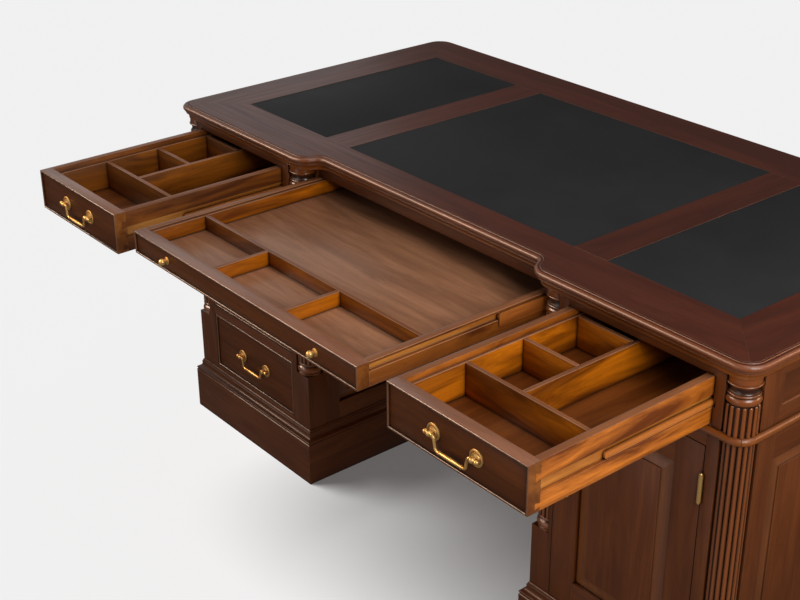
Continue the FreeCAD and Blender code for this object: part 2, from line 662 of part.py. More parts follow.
def frieze_end():
    """The right end board, with its moulded recess."""
    inset = POST_Y - END_PANEL_MARGIN
    low, high = FRIEZE_Z0 + END_PANEL_B, FRIEZE_Z1 - END_PANEL_T
    face = -FACE_X
    board = box(-POST_Y, POST_Y, face, face + FRAME_T, FRIEZE_Z0, FRIEZE_Z1)
    board = board.cut(box(-inset, inset, face, face + END_RECESS, low, high))
    path = Part.makePolygon([V(-inset, face, low), V(inset, face, low), V(inset, face, high),
                             V(-inset, face, high), V(-inset, face, low)])
    side = END_RECESS
    bulge = side * (1 - HOLLOW)
    quarter = Part.Wire([
        Part.makeLine(V(0, face, low), V(0, face + side, low)),
        Part.makeLine(V(0, face + side, low), V(0, face + side, low + side)),
        Part.Arc(V(0, face + side, low + side), V(0, face + side - bulge, low + bulge),
                 V(0, face, low)).toShape()])
    return turned_to_side(joined([board, path.makePipeShell([quarter], True, False, 1)]))


def make_frieze():
    """Posts, rails, end boards, floors, guides and the fixed fronts of the far side."""
    posts = frieze_posts()
    save("frieze_posts", both_ends(posts))
    side_rail = box(OPENING_IN, OPENING_OUT, -FACE_Y, -FACE_Y + RAIL_DEPTH, SIDE_OPENING_Z1, FRIEZE_Z1)
    end = frieze_end()
    low = CENTRE_OPENING_Z0 - CENTRE_RAIL_B
    middle_rails = [
        box(-CENTRE_HALF, CENTRE_HALF, -CENTRE_Y, -CENTRE_Y + RAIL_DEPTH, CENTRE_OPENING_Z1, FRIEZE_Z1),
        box(-CENTRE_HALF, CENTRE_HALF, FACE_Y - RAIL_DEPTH, FACE_Y, CENTRE_OPENING_Z1, FRIEZE_Z1),
        box(-CENTRE_HALF, CENTRE_HALF, -CENTRE_Y, -CENTRE_Y + FRAME_T, low, CENTRE_OPENING_Z0),
        box(-CENTRE_HALF, CENTRE_HALF, FACE_Y - FRAME_T, FACE_Y, low, CENTRE_OPENING_Z0)]
    save("frieze_rails", both_ends([*both_faces([side_rail]), end]) + middle_rails)

    base = pedestal_outline().plate(0, PEDESTAL_TOP, SIDE_OPENING_Z0)
    notches = [box(x, x + NOTCH, CENTRE_Y, FACE_Y, FRIEZE_Z0, FRIEZE_Z1)
               for x in (KNEE_X, BLOCK_WALL_X)]
    base = cut_from(base, posts + [end] + both_faces(notches))
    floor = box(-CENTRE_HALF, CENTRE_HALF, -CENTRE_Y + FRAME_T, FACE_Y - FRAME_T,
                CENTRE_OPENING_Z0 - CENTRE_BOARD, CENTRE_OPENING_Z0)
    save("frieze_floors", both_ends([base]) + [floor])

    slot_z, centre_slot_z = guide_slots()
    guides = []
    for x0, x1, slot_x0, slot_x1, z0, z1 in (
            (OPENING_OUT, OPENING_OUT + GUIDE_T, OPENING_OUT, OPENING_OUT + SLOT_IN_GUIDE, *slot_z),
            (OPENING_IN - GUIDE_T, OPENING_IN, OPENING_IN - SLOT_IN_GUIDE, OPENING_IN, *slot_z),
            (CENTRE_HALF, CENTRE_HALF + GUIDE_T, CENTRE_HALF, CENTRE_HALF + SLOT_IN_GUIDE,
             *centre_slot_z)):
        guide = box(x0, x1, -POST_Y, POST_Y, SIDE_OPENING_Z0, TOP_Z0)
        guides.append(guide.cut(box(slot_x0, slot_x1, -POST_Y, POST_Y, z0, z1)))
    save("frieze_guides", both_ends(guides))

    side_front = beaded_front(OPENING_IN + GAP, OPENING_OUT - GAP, SIDE_OPENING_Z0, SIDE_OPENING_Z1,
                              -FACE_Y)
    centre_front = beaded_front(-CENTRE_HALF + GAP, CENTRE_HALF - GAP, CENTRE_OPENING_Z0,
                                CENTRE_OPENING_Z1, -FACE_Y)
    save("back_frieze_fronts", both_ends([flip_y(side_front)]) + [flip_y(centre_front)])
    field_y = -FACE_Y + FIELD_DEPTH
    side_middle = (OPENING_IN + OPENING_OUT) / 2
    knob_z = (SIDE_OPENING_Z0 + SIDE_OPENING_Z1) / 2
    knobs = [ball_knob(side_middle + side * HANDLE_SPAN / 2, field_y, knob_z) for side in (-1, 1)]
    knobs.append(ball_knob(KNOB_X, field_y, (CENTRE_OPENING_Z0 + CENTRE_OPENING_Z1) / 2))
    save("back_frieze_knobs", both_ends([flip_y(knob) for knob in knobs]))
    make_capitals(posts)


def make_capitals(posts):
    """Eight turned and carved capitals, fitted into the notches of the posts."""
    rings = stepped(CAPITAL_R, FRIEZE_Z0, CAPITAL_STEPS)
    cap_r = rings[-1][0]
    core = turned([(0, FRIEZE_Z0), *rings, (cap_r, FRIEZE_Z1), (0, FRIEZE_Z1)])
    pitch_r = CAPITAL_R - LOBE_R - LOBE_IN
    straight = V(0, 0, LOBE_H - LOBE_R)
    lobes = []
    for i in range(LOBES):
        angle = 2 * math.pi * i / LOBES
        spot = V(pitch_r * math.cos(angle), pitch_r * math.sin(angle), FRIEZE_Z0)
        lobes.append(Part.makeCone(LOBE_FOOT_R, LOBE_R, straight.z, spot))
        lobes.append(Part.makeSphere(LOBE_R, spot + straight))
    capital = joined([core, *lobes])
    back_outer, back_inner, front_outer, front_inner = posts
    save("capitals", both_ends([
        moved(capital, CORNER_X, CORNER_Y).cut(back_outer),
        moved(capital, KNEE_COLUMN_X, CORNER_Y).cut(back_inner),
        moved(capital, CORNER_X, -CORNER_Y).cut(front_outer),
        moved(capital, KNEE_COLUMN_X, -CORNER_Y).cut(front_inner)]))


def pedestal_wedges(z0, z1):
    """The four wedges that the mitred mouldings round the right pedestal fill."""
    return mitre_wedges(KNEE_X + MITRE_IN, FACE_X - MITRE_IN, -FACE_Y + MITRE_IN, FACE_Y - MITRE_IN,
                        ((KNEE_X, FACE_X), (-FACE_Y, FACE_Y)), z0, z1)


def make_astragals():
    """Half-round mouldings round the base boards, in mitred lengths."""
    low, high = PEDESTAL_TOP, FRIEZE_Z0
    half_round = section([(0, low), ("arc", (ASTRAGAL_H / 2, (low + high) / 2), (0, high))])
    ring = pedestal_outline().moulding(half_round)
    save("astragals", both_ends([ring.common(wedge) for wedge in pedestal_wedges(low, high)]))


# ---------------------------------------------------------------- pedestals
def pedestal_posts(front_edge):
    """A right pedestal's posts. front_edge is the front opening's edge at the kneehole."""
    z0, z1 = PLINTH_H, PEDESTAL_TOP
    outer_notch = box(BLOCK_WALL_X, FACE_X, CENTRE_Y, FACE_Y, BLOCK_TOP, z1)
    inner_notch = box(KNEE_X, KNEE_X + NOTCH, CENTRE_Y, FACE_Y, BLOCK_TOP, z1)
    outer = box(CASE_OUT, FACE_X, POST_Y, FACE_Y, z0, z1).cut(outer_notch)
    back_inner = box(KNEE_X, DOOR_IN, POST_Y, FACE_Y, z0, z1).cut(inner_notch)
    front_inner = box(KNEE_X, front_edge, POST_Y, FACE_Y, z0, z1).cut(inner_notch)
    return [outer, back_inner, flip_y(outer), flip_y(front_inner)]


def pedestal_sides():
    """A right pedestal's side rails and fielded panels: (rails, panels)."""
    low, high = PLINTH_H + SIDE_PANEL_B, PEDESTAL_TOP - SIDE_PANEL_T
    panel = fielded_panel(-POST_Y, POST_Y, low, high, -FACE_X, SIDE_BEVEL)
    rails = [box(-POST_Y, POST_Y, -FACE_X, -FACE_X + FRAME_T, z0, z1).cut(panel)
             for z0, z1 in ((PLINTH_H, low), (high, PEDESTAL_TOP))]
    rails = [turned_to_side(rail) for rail in rails]
    panel = turned_to_side(panel)
    return rails + [about_kneehole(rail) for rail in rails], [panel, about_kneehole(panel)]


def drawer_openings():
    """Lower and upper edge of each pedestal drawer's opening, from the bottom."""
    first = PLINTH_H + DRAWER_RAIL_B
    room = PEDESTAL_TOP - DRAWER_RAIL_T - first - (PEDESTAL_DRAWERS - 1) * DRAWER_RAIL
    height = room / PEDESTAL_DRAWERS
    starts = [first + i * (height + DRAWER_RAIL) for i in range(PEDESTAL_DRAWERS)]
    return [(start, start + height) for start in starts]


def drawer_case():
    """Rails, and runners behind them, for the three pedestal drawers."""
    openings = drawer_openings()
    levels = [(PLINTH_H, openings[0][0])]
    levels += [(below[1], above[0]) for below, above in zip(openings, openings[1:])]
    levels.append((openings[-1][1], PEDESTAL_TOP))
    back_of_rail = -FACE_Y + RAIL_DEPTH
    rails = [box(DRAWER_IN, CASE_OUT, -FACE_Y, back_of_rail, z0, z1) for z0, z1 in levels]
    runners = []
    for z0, z1 in levels[1:-1]:
        for x0, x1 in ((KNEE_X + FRAME_T, DRAWER_IN + RUNNER_W), (CASE_OUT - RUNNER_W, FACE_X - FRAME_T)):
            runners.append(box(x0, x1, back_of_rail, -BOARD_T / 2, z0, z1))
    return rails, runners


def make_plinths():
    """Four moulded and mitred boards under each pedestal."""
    middle = (KNEE_X + FACE_X) / 2
    inner = PLINTH_PROUD - PLINTH_T
    profile = section([(inner, 0), (PLINTH_PROUD, 0),
                       *stepped(PLINTH_PROUD, PLINTH_PLAIN, PLINTH_STEPS), (inner, PLINTH_H)])
    profile.rotate(V(0, 0, 0), V(0, 0, 1), -90)
    profile.translate(V(middle, -FACE_Y, 0))
    path = Part.makePolygon([V(KNEE_X, -FACE_Y, 0), V(FACE_X, -FACE_Y, 0), V(FACE_X, FACE_Y, 0),
                             V(KNEE_X, FACE_Y, 0), V(KNEE_X, -FACE_Y, 0)])
    ring = path.makePipeShell([profile.OuterWire], True, False, 1)
    save("plinths", both_ends([ring.common(wedge) for wedge in pedestal_wedges(0, PLINTH_H)]))


def make_columns(posts):
    """Reeded columns on turned feet, fitted into a pedestal's posts."""
    rings = stepped(COLUMN_R, BLOCK_TOP, FOOT_STEPS)
    shaft = rings[-1][-1][1]
    turning = turned([(0, BLOCK_TOP), *rings, (0, shaft)])
    pitch_r = COLUMN_R - REED_R
    step = 2 * math.pi / REEDS
    valley_r = pitch_r * math.cos(step / 2) + math.sqrt(REED_R ** 2 - (pitch_r * math.sin(step / 2)) ** 2)

    def spot(radius, turns):
        return V(radius * math.cos(turns * step), radius * math.sin(turns * step), shaft)

    arcs = [Part.Arc(spot(valley_r, i - 0.5), spot(COLUMN_R, i), spot(valley_r, i + 0.5)).toShape()
            for i in range(REEDS)]
    reeds = Part.Face(Part.Wire(arcs)).extrude(V(0, 0, PEDESTAL_TOP - shaft))
    column = joined([turning, reeds])
    back_outer, back_inner, front_outer, front_inner = posts
    columns = [moved(column, CORNER_X, CORNER_Y).cut(back_outer),
               moved(column, KNEE_COLUMN_X, CORNER_Y).cut(back_inner),
               moved(column, CORNER_X, -CORNER_Y).cut(front_outer),
               moved(column, KNEE_COLUMN_X, -CORNER_Y).cut(front_inner)]
    return [main_piece(shape) for shape in columns]


def make_pedestals():
    """Both pedestals without their drawers and doors. The left one is built as a right one."""
    side_rails, panels = pedestal_sides()
    door_fixed = [leaf for hinge in door_hinges() for leaf in hinge["fixed"]]
    pockets = [pocket for hinge in door_hinges() for pocket in hinge["fixed_pockets"]]
    x0, x1 = KNEE_X + FRAME_T, FACE_X - FRAME_T
    inner_y = FACE_Y - DOOR_T - DOOR_GAP
    board_z = PLINTH_H + DRAWER_RAIL_B
    boards = [box(x0, x1, -inner_y, inner_y, PLINTH_H, board_z),
              box(x0, x1, -inner_y, inner_y, PEDESTAL_TOP - BOARD_T, PEDESTAL_TOP),
              box(x0, x1, -BOARD_T / 2, BOARD_T / 2, board_z, PEDESTAL_TOP - BOARD_T)]
    shelf = box(x0, x1, BOARD_T / 2, inner_y, SHELF_Z, SHELF_Z + BOARD_T)
    rail = box(DOOR_IN, CASE_OUT, FACE_Y - DOOR_T, FACE_Y, PEDESTAL_TOP - DOOR_RAIL_T, PEDESTAL_TOP)
    case_rails, runners = drawer_case()

    nodes = {"pedestal_posts": [], "columns": [], "pedestal_boards": [], "front_rails": []}
    for is_left in (False, True):
        posts = pedestal_posts(DRAWER_IN if is_left else DOOR_IN)
        cuts = panels + [flip_y(pocket) for pocket in pockets]
        rails = [rail] + case_rails + runners if is_left else both_faces([rail])
        if not is_left:
            cuts = cuts + pockets
        shelves = [shelf] if is_left else both_faces([shelf])
        group = {
            "pedestal_posts": [cut_from(post, cuts) for post in posts],
            "columns": make_columns(posts),
            "front_rails": [cut_from(piece, posts) for piece in rails],
            "pedestal_boards": [main_piece(cut_from(board, posts + rails)) for board in boards + shelves]}
        for node, shapes in group.items():
            nodes[node] += [flip_x(shape) for shape in shapes] if is_left else shapes
    for node, shapes in nodes.items():
        save(node, shapes)
    save("side_rails", both_ends(side_rails))
    save("side_panels", both_ends(panels))
    back = [flip_y(leaf) for leaf in door_fixed]
    save("hinge_leaves", door_fixed + both_ends(back))


# ---------------------------------------------------------------- doors
def door_hinges():
    """The front right door's two hinges: fixed and moving solids, and the pockets for the leaves."""
    door_edge = CASE_OUT - DOOR_GAP
    pin_x, pin_y = CASE_OUT - DOOR_GAP / 2, -FACE_Y - HINGE_OUT
    door_z0, door_z1 = door_heights()
    hinges = []
    for middle in (door_z0 + HINGE_END, door_z1 - HINGE_END):
        z0 = middle - HINGE_H / 2
        pitch = HINGE_H / KNUCKLES
        back_y = -FACE_Y + LEAF_W
        fixed_leaf = box(CASE_OUT, CASE_OUT + LEAF_T, -FACE_Y, back_y, z0, z0 + HINGE_H)
        moving_leaf = box(door_edge - LEAF_T, door_edge, -FACE_Y, back_y, z0, z0 + HINGE_H)
        fixed, moving = [fixed_leaf], [moving_leaf]
        for i in range(KNUCKLES):
            low = z0 + i * pitch + KNUCKLE_GAP / 2
            high = z0 + (i + 1) * pitch - KNUCKLE_GAP / 2
            barrel = rod(HINGE_R, V(pin_x, pin_y, low), V(pin_x, pin_y, high))
            if i % 2 == 0:
                tab = box(CASE_OUT, CASE_OUT + LEAF_T, pin_y, -FACE_Y, low, high)
                fixed += [barrel, tab]
            else:
                tab = box(door_edge - LEAF_T, door_edge, pin_y, -FACE_Y, low, high)
                hole = rod(PIN_R + PIN_FIT, V(pin_x, pin_y, low), V(pin_x, pin_y, high))
                moving += [joined([barrel, tab]).cut(hole)]
        pin = rod(PIN_R, V(pin_x, pin_y, z0), V(pin_x, pin_y, z0 + HINGE_H))
        tips = [Part.makeSphere(PIN_TIP_R, V(pin_x, pin_y, z))
                for z in (z0 - PIN_TIP_OUT, z0 + HINGE_H + PIN_TIP_OUT)]
        hinges.append({"fixed": [joined(fixed + [pin] + tips)], "moving": [joined(moving)],
                       "fixed_pockets": [fixed_leaf], "moving_pockets": [moving_leaf]})
    return hinges


def door_heights():
    """Lower and upper edge of each door."""
    return PLINTH_H + DOOR_GAP, PEDESTAL_TOP - DOOR_RAIL_T - DOOR_GAP


def make_doors():
    """The front right door, and its images at the back of both pedestals."""
    x0, x1 = DOOR_IN + DOOR_GAP, CASE_OUT - DOOR_GAP
    z0, z1 = door_heights()
    y0, y1 = -FACE_Y, -FACE_Y + DOOR_T
    panel = fielded_panel(x0 + STILE, x1 - STILE, z0 + DOOR_RAIL, z1 - DOOR_RAIL, -FACE_Y, DOOR_BEVEL)
    hinges = door_hinges()
    pockets = [pocket for hinge in hinges for pocket in hinge["moving_pockets"]]
    frame = [box(x0, x0 + STILE, y0, y1, z0, z1), box(x1 - STILE, x1, y0, y1, z0, z1),
             box(x0 + STILE, x1 - STILE, y0, y1, z0, z0 + DOOR_RAIL),
             box(x0 + STILE, x1 - STILE, y0, y1, z1 - DOOR_RAIL, z1)]
    frame = [cut_from(piece, [panel] + pockets) for piece in frame]
    knob = ball_knob(x0 + STILE / 2, -FACE_Y, (z0 + z1) / 2)
    brass = [knob] + [leaf for hinge in hinges for leaf in hinge["moving"]]
    for name, place in (("front_right", lambda shape: shape), ("back_right", flip_y),
                        ("back_left", lambda shape: flip_x(flip_y(shape)))):
        save(f"{name}_door_frame", [place(shape) for shape in frame])
        save(f"{name}_door_panel", [place(panel)])
        save(f"{name}_door_brass", [place(shape) for shape in brass])


# ---------------------------------------------------------------- drawers
def drawer_box(x0, x1, y0, length, z0, z1, side_t, tails=()):
    """Two sides, a back and a bottom. y0 is the back of the drawer's front.

    Returns the sides, the other solids, and the tools that cut the front's dovetail sockets.
    """
    y1 = y0 + length
    groove = side_t / 2
    bottom = box(x0 + groove, x1 - groove, y0, y1 - BACK_T, z0 + BOTTOM_UP, z0 + BOTTOM_UP + BOTTOM_T)
    back = box(x0 + side_t, x1 - side_t, y1 - BACK_T, y1, z0 + BOTTOM_UP, z1)
    sides, sockets = [], []
    for left, right, socket_left, socket_right in ((x0, x0 + side_t, x0 - side_t, x0 + side_t),
                                                   (x1 - side_t, x1, x1 - side_t, x1 + side_t)):
        board = box(left, right, y0, y1, z0, z1)
        for low, high in tails:
            corners = [V(0, y0, z0 + low + TAIL_FLARE), V(0, y0 - TAIL_LENGTH, z0 + low),
                       V(0, y0 - TAIL_LENGTH, z0 + high), V(0, y0, z0 + high - TAIL_FLARE)]
            tail = Part.Face(Part.makePolygon(corners + corners[:1]))
            board = joined([board, moved(tail, left).extrude(V(right - left, 0, 0))])
            sockets.append(moved(tail, socket_left).extrude(V(socket_right - socket_left, 0, 0)))
        sides.append(board.cut(bottom))
    return sides, [back, bottom], sockets


def slide_length(xs, ys, low, high, lip):
    """A length of a slide: a tongue across all three xs, and a lip below it across the outer two."""
    deep, near, outer = xs
    pieces = [box(min(deep, outer), max(deep, outer), *ys, low, high)]
    if lip:
        pieces.append(box(min(near, outer), max(near, outer), *ys, low - lip, low))
    return joined(pieces)


def level_edges(shape, y, levels):
    """The shape's edges that lie across at y, at one of the levels."""
    found = []
    for edge in shape.Edges:
        first, last = edge.Vertexes[0], edge.Vertexes[-1]
        across = abs(first.Y - y) < 1e-6 and abs(last.Y - y) < 1e-6 and abs(first.Z - last.Z) < 1e-6
        if across and min(abs(first.Z - level) for level in levels) < 1e-6:
            found.append(edge)
    return found


def slide_pair(x0, x1, y0, room, nose, lip):
    """Two hardwood slides whose tongues run in the sides of a drawer that spans x0..x1.

    room is the lower and upper edge of the tongue's way. nose is the slim front part, level with the
    drawer's side or a little proud of it. The heel behind it fills the slot of the guide.
    """
    low, high = room[0] + TOUCH, room[1] - TOUCH
    proud, nose_length = nose
    heel_y = y0 + nose_length
    slides = []
    for face, out in ((x0, -1), (x1, 1)):
        deep, near = face - out * (SLOT_IN_SIDE - TOUCH), face + out * TOUCH
        front = slide_length((deep, near, face + out * proud), (y0, heel_y), low, high, lip)
        front = front.makeFillet(NOSE_ROUND, level_edges(front, y0, (high, low - lip)))
        far = face + out * (GAP + SLOT_IN_GUIDE)
        heel = slide_length((deep, near, far), (heel_y, y0 + SLIDE_LENGTH), low, high, lip)
        slides.append(joined([front, heel]))
    return slides


def save_drawer(name, group, x=0.0, y=0.0):
    """Writes a drawer's nodes, moved to where it stands at rest."""
    for part, shapes in group.items():
        save(f"{name}_{part}", [moved(shape, x, y) for shape in shapes])


def make_side_drawers():
    """The two frieze side drawers. Their trays aren't mirror images: the small cells are on the left."""
    x0, x1 = OPENING_IN + GAP, OPENING_OUT - GAP
    z0, z1 = SIDE_OPENING_Z0 + TOUCH, SIDE_OPENING_Z1 - TOUCH
    back_y = -FACE_Y + FRONT_T
    left, right = x0 + TOUCH, x1 - TOUCH
    sides, rest, sockets = drawer_box(left, right, back_y, BOX_LENGTH, z0, z1, SIDE_T, TAILS)
    low, high = side_slot()
    end = back_y + BOX_LENGTH
    slots = [box(left, left + SLOT_IN_SIDE, back_y, end, low, high),
             box(right - SLOT_IN_SIDE, right, back_y, end, low, high)]
    front = cut_from(beaded_front(x0, x1, z0, z1, -FACE_Y), sockets)
    group = {"front": [front], "box": [cut_from(side, slots) for side in sides] + rest,
             "tray": side_tray(left, right, back_y, end - BACK_T, z0 + BOTTOM_UP + BOTTOM_T,
                               z1 - TRAY_DOWN)}
    middle, field_y, handle_z = (x0 + x1) / 2, -FACE_Y + FIELD_DEPTH, (z0 + z1) / 2 + HANDLE_UP
    group["handle_posts"] = handle_posts(middle, field_y, handle_z)
    group["bail"] = bail(middle, field_y, handle_z)
    slides = slide_pair(left, right, back_y + SLIDE_REST, guide_slots()[0], SIDE_NOSE, 0.0)
    for name, shift in (("right", 0.0), ("left", -(OPENING_IN + OPENING_OUT))):
        save_drawer(f"{name}_drawer", group, shift, -FRIEZE_OPEN)
        save(f"{name}_drawer_slides", [moved(slide, shift, -FRIEZE_OPEN * SIDE_SHARE) for slide in slides])


def side_tray(left, right, y0, y1, z0, z1):
    """A side drawer's tray: four walls, cross dividers and one lengthwise divider."""
    x0, x1 = left + SIDE_T, right - SIDE_T
    half = DIVIDER_T / 2
    wall = TRAY_WALL
    bay_x = left + TRAY_BAY
    first = y0 + TRAY_FRONT
    pieces = [box(x0, x0 + wall, y0, y1, z0, z1), box(x1 - wall, x1, y0, y1, z0, z1),
              box(x0 + wall, x1 - wall, y0, y0 + wall, z0, z1),
              box(x0 + wall, x1 - wall, y1 - wall, y1, z0, z1),
              box(x0 + wall, x1 - wall, first - half, first + half, z0, z1),
              box(bay_x - half, bay_x + half, first + half, y1 - wall, z0, z1)]
    for i in range(1, TRAY_CROSS):
        middle = first + i * TRAY_PITCH
        pieces.append(box(x0 + wall, bay_x - half, middle - half, middle + half, z0, z1))
    return pieces


def make_centre_drawer():
    """The wide, shallow drawer over the kneehole."""
    x1 = CENTRE_HALF - GAP
    z0, z1 = CENTRE_OPENING_Z0 + TOUCH, CENTRE_OPENING_Z1 - TOUCH
    back_y = -CENTRE_Y + FRONT_T
    right = x1 - TOUCH
    end = back_y + BOX_LENGTH
    sides, rest, _ = drawer_box(-right, right, back_y, BOX_LENGTH, z0, z1, SIDE_T)
    low, high = centre_slot()
    slots = both_ends([box(right - SLOT_IN_SIDE, right, back_y, end, low, high)])
    floor_z, wall_z = z0 + BOTTOM_UP + BOTTOM_T, z1 - CENTRE_TRAY_DOWN
    inner, wall, half = right - SIDE_T, TRAY_WALL, DIVIDER_T / 2
    divider_y = back_y + CENTRE_TRAY_FRONT
    tray_end = end - BACK_T
    tray = both_ends([box(inner - wall, inner, back_y, tray_end, floor_z, wall_z)])
    cell = inner - wall
    tray += [box(-cell, cell, back_y, back_y + wall, floor_z, wall_z),
             box(-cell, cell, tray_end - wall, tray_end, floor_z, wall_z),
             box(-cell, cell, divider_y - half, divider_y + half, floor_z, wall_z)]
    tray += [box(x - half, x + half, back_y + wall, divider_y - half, floor_z, wall_z)
             for x in CENTRE_CELLS]
    knob = ball_knob(KNOB_X, -CENTRE_Y + FIELD_DEPTH, (z0 + z1) / 2)
    group = {"front": [beaded_front(-x1, x1, z0, z1, -CENTRE_Y)],
             "box": [cut_from(side, slots) for side in sides] + rest,
             "tray": tray, "knobs": both_ends([knob])}
    save_drawer("centre_drawer", group, 0.0, -CENTRE_OPEN)
    slides = slide_pair(-right, right, back_y + SLIDE_REST, (low, high), CENTRE_NOSE, CENTRE_SLIDE_LIP)
    save("centre_drawer_slides", [moved(slide, 0, -CENTRE_OPEN * CENTRE_SHARE) for slide in slides])


def make_pedestal_drawers():
    """The three drawers of the left pedestal."""
    for name, (low, high) in zip(("lower", "middle", "upper"), drawer_openings()):
        x0, x1 = -CASE_OUT + GAP, -DRAWER_IN - GAP
        z0, z1 = low + GAP, high - GAP
        back_y = -FACE_Y + FRONT_T
        length = -PEDESTAL_BOX_BACK - back_y
        sides, rest, _ = drawer_box(x0 + TOUCH, x1 - TOUCH, back_y, length, low + TOUCH,
                                    z1 - PEDESTAL_BOX_DOWN, PEDESTAL_SIDE_T)
        middle, field_y, handle_z = (x0 + x1) / 2, -FACE_Y + FIELD_DEPTH, (z0 + z1) / 2
        save_drawer(f"{name}_drawer", {
            "front": [beaded_front(x0, x1, z0, z1, -FACE_Y)], "box": sides + rest,
            "handle_posts": handle_posts(middle, field_y, handle_z),
            "bail": bail(middle, field_y, handle_z)})


def main():
    """Builds every sub-part, from the top down."""
    make_top()
    make_frieze()
    make_astragals()
    make_pedestals()
    make_plinths()
    make_doors()
    make_side_drawers()
    make_centre_drawer()
    make_pedestal_drawers()


main()
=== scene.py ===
"""Looks of a mahogany partners desk: eased boards, lacquered wood, leather, brass, floor and light."""
import json
import logging
import math
import random
from abc import ABC, abstractmethod
from dataclasses import dataclass, field
from enum import Enum
from typing import ClassVar

import bpy
import numpy as np
from mathutils import Matrix, Vector

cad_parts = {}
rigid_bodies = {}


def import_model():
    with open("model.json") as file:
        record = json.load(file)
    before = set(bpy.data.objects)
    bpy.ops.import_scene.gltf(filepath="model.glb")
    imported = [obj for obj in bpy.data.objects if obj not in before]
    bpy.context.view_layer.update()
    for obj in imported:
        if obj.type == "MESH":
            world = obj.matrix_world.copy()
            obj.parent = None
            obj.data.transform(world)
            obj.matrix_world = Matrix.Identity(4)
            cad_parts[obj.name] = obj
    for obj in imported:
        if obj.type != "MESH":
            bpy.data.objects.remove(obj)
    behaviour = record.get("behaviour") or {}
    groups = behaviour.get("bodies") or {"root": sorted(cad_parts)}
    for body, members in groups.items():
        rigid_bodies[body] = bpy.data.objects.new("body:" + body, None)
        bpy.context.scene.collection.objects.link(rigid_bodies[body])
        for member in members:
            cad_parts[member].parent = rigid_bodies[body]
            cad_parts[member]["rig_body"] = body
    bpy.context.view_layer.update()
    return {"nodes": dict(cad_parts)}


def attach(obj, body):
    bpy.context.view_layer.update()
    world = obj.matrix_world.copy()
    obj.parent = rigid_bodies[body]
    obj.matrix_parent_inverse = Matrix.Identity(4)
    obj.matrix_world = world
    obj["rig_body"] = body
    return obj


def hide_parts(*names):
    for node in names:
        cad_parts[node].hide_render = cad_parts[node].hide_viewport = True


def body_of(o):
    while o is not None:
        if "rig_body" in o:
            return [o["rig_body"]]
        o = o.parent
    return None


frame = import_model()

log = logging.getLogger("desk")
Socket = bpy.types.NodeSocket
Colour = tuple[float, float, float]
Place = tuple[float, float, float]
Span = tuple[float, float]
WHITE: Colour = (1.0, 1.0, 1.0)

# Where the patches of a solid lie: parts of a face's unit normal, then distances in metres.
LEVEL_UP = 0.98
FACES_UP = 0.5
FACES_SIDEWAYS = 0.9
TILTED: Span = (0.8, 0.997)
RIM_DEPTH = 0.003
THIN_HEIGHT = 0.007
BEAD_WIDTH = 0.0042
BEAD_DEPTH = 0.0022
END_DEPTH = 0.001
GROOVE_DEPTH = 0.003


class Grain(Enum):
    """Which way the grain of a board runs."""

    LONGEST = -1
    ALONG_Z = 2


class Slot(Enum):
    """The record's material slots."""

    TOP = "top_wood"
    HIDE = "leather"
    CASE = "case_wood"
    TURNED = "turned_wood"
    PANEL = "panel_wood"
    INSIDE = "inside_wood"
    DOOR = "door_wood"
    FRONT = "front_wood"
    DRAWER = "drawer_wood"
    TRAY = "tray_wood"
    SLIDE = "slide_wood"
    BRASS = "brass"


class Patch(Enum):
    """Places on a node that are finished apart from the rest."""

    NOSING = "moulded edge of the top"
    RIM = "upper faces"
    THIN = "thin boards"
    BEAD = "cock bead round a front"
    END = "ends of a front"
    BEVEL = "sloping faces of a panel"
    GROOVE = "back of the groove in a drawer's side"

    def holds(self, face: bpy.types.MeshPolygon, low: np.ndarray, high: np.ndarray) -> bool:
        """Tells whether a face belongs to the place.

        Args:
            face: a face of one solid.
            low: the solid's lowest x, y and z.
            high: the solid's highest x, y and z.

        Returns:
            True if it does.
        """
        spot, normal = np.array(face.center), np.abs(face.normal)
        below, above = spot - low, high - spot
        from_end = min(below[0], above[0])
        if self is Patch.NOSING:
            return face.normal.z < LEVEL_UP
        if self is Patch.RIM:
            return face.normal.z > FACES_UP and above[2] < RIM_DEPTH
        if self is Patch.THIN:
            return high[2] - low[2] < THIN_HEIGHT
        if self is Patch.BEAD:
            return min(from_end, below[2], above[2]) < BEAD_WIDTH and min(below[1], above[1]) < BEAD_DEPTH
        if self is Patch.END:
            return normal[0] > FACES_SIDEWAYS and from_end < END_DEPTH
        if self is Patch.BEVEL:
            return TILTED[0] < normal.max() < TILTED[1]
        return normal[0] > FACES_SIDEWAYS and from_end > GROOVE_DEPTH


class Coordinates(Enum):
    """The attributes that every dressed piece carries for its finishes."""

    GRAIN = "grain"
    BOARD = "board"
    RAISED = "raised"


class Lights(Enum):
    """What a lamp lights, as the floor's state in the lamp's light linking."""

    DESK = "EXCLUDE"
    FLOOR = "INCLUDE"


# ---------------------------------------------------------------- finishes
@dataclass(frozen=True)
class Pattern:
    """A noise: how fine it is along and across the grain, per metre, and how it is broken up."""

    along: float
    across: float
    detail: float
    roughness: float = 0.5
    distortion: float = 0.0


@dataclass(frozen=True)
class Relief:
    """A fine unevenness that only tilts the light: its share, and its height in metres."""

    strength: float
    height: float


def deepened(colour: Colour, share: float) -> Colour:
    """Returns a share of a colour's light."""
    return tuple(value * share for value in colour)


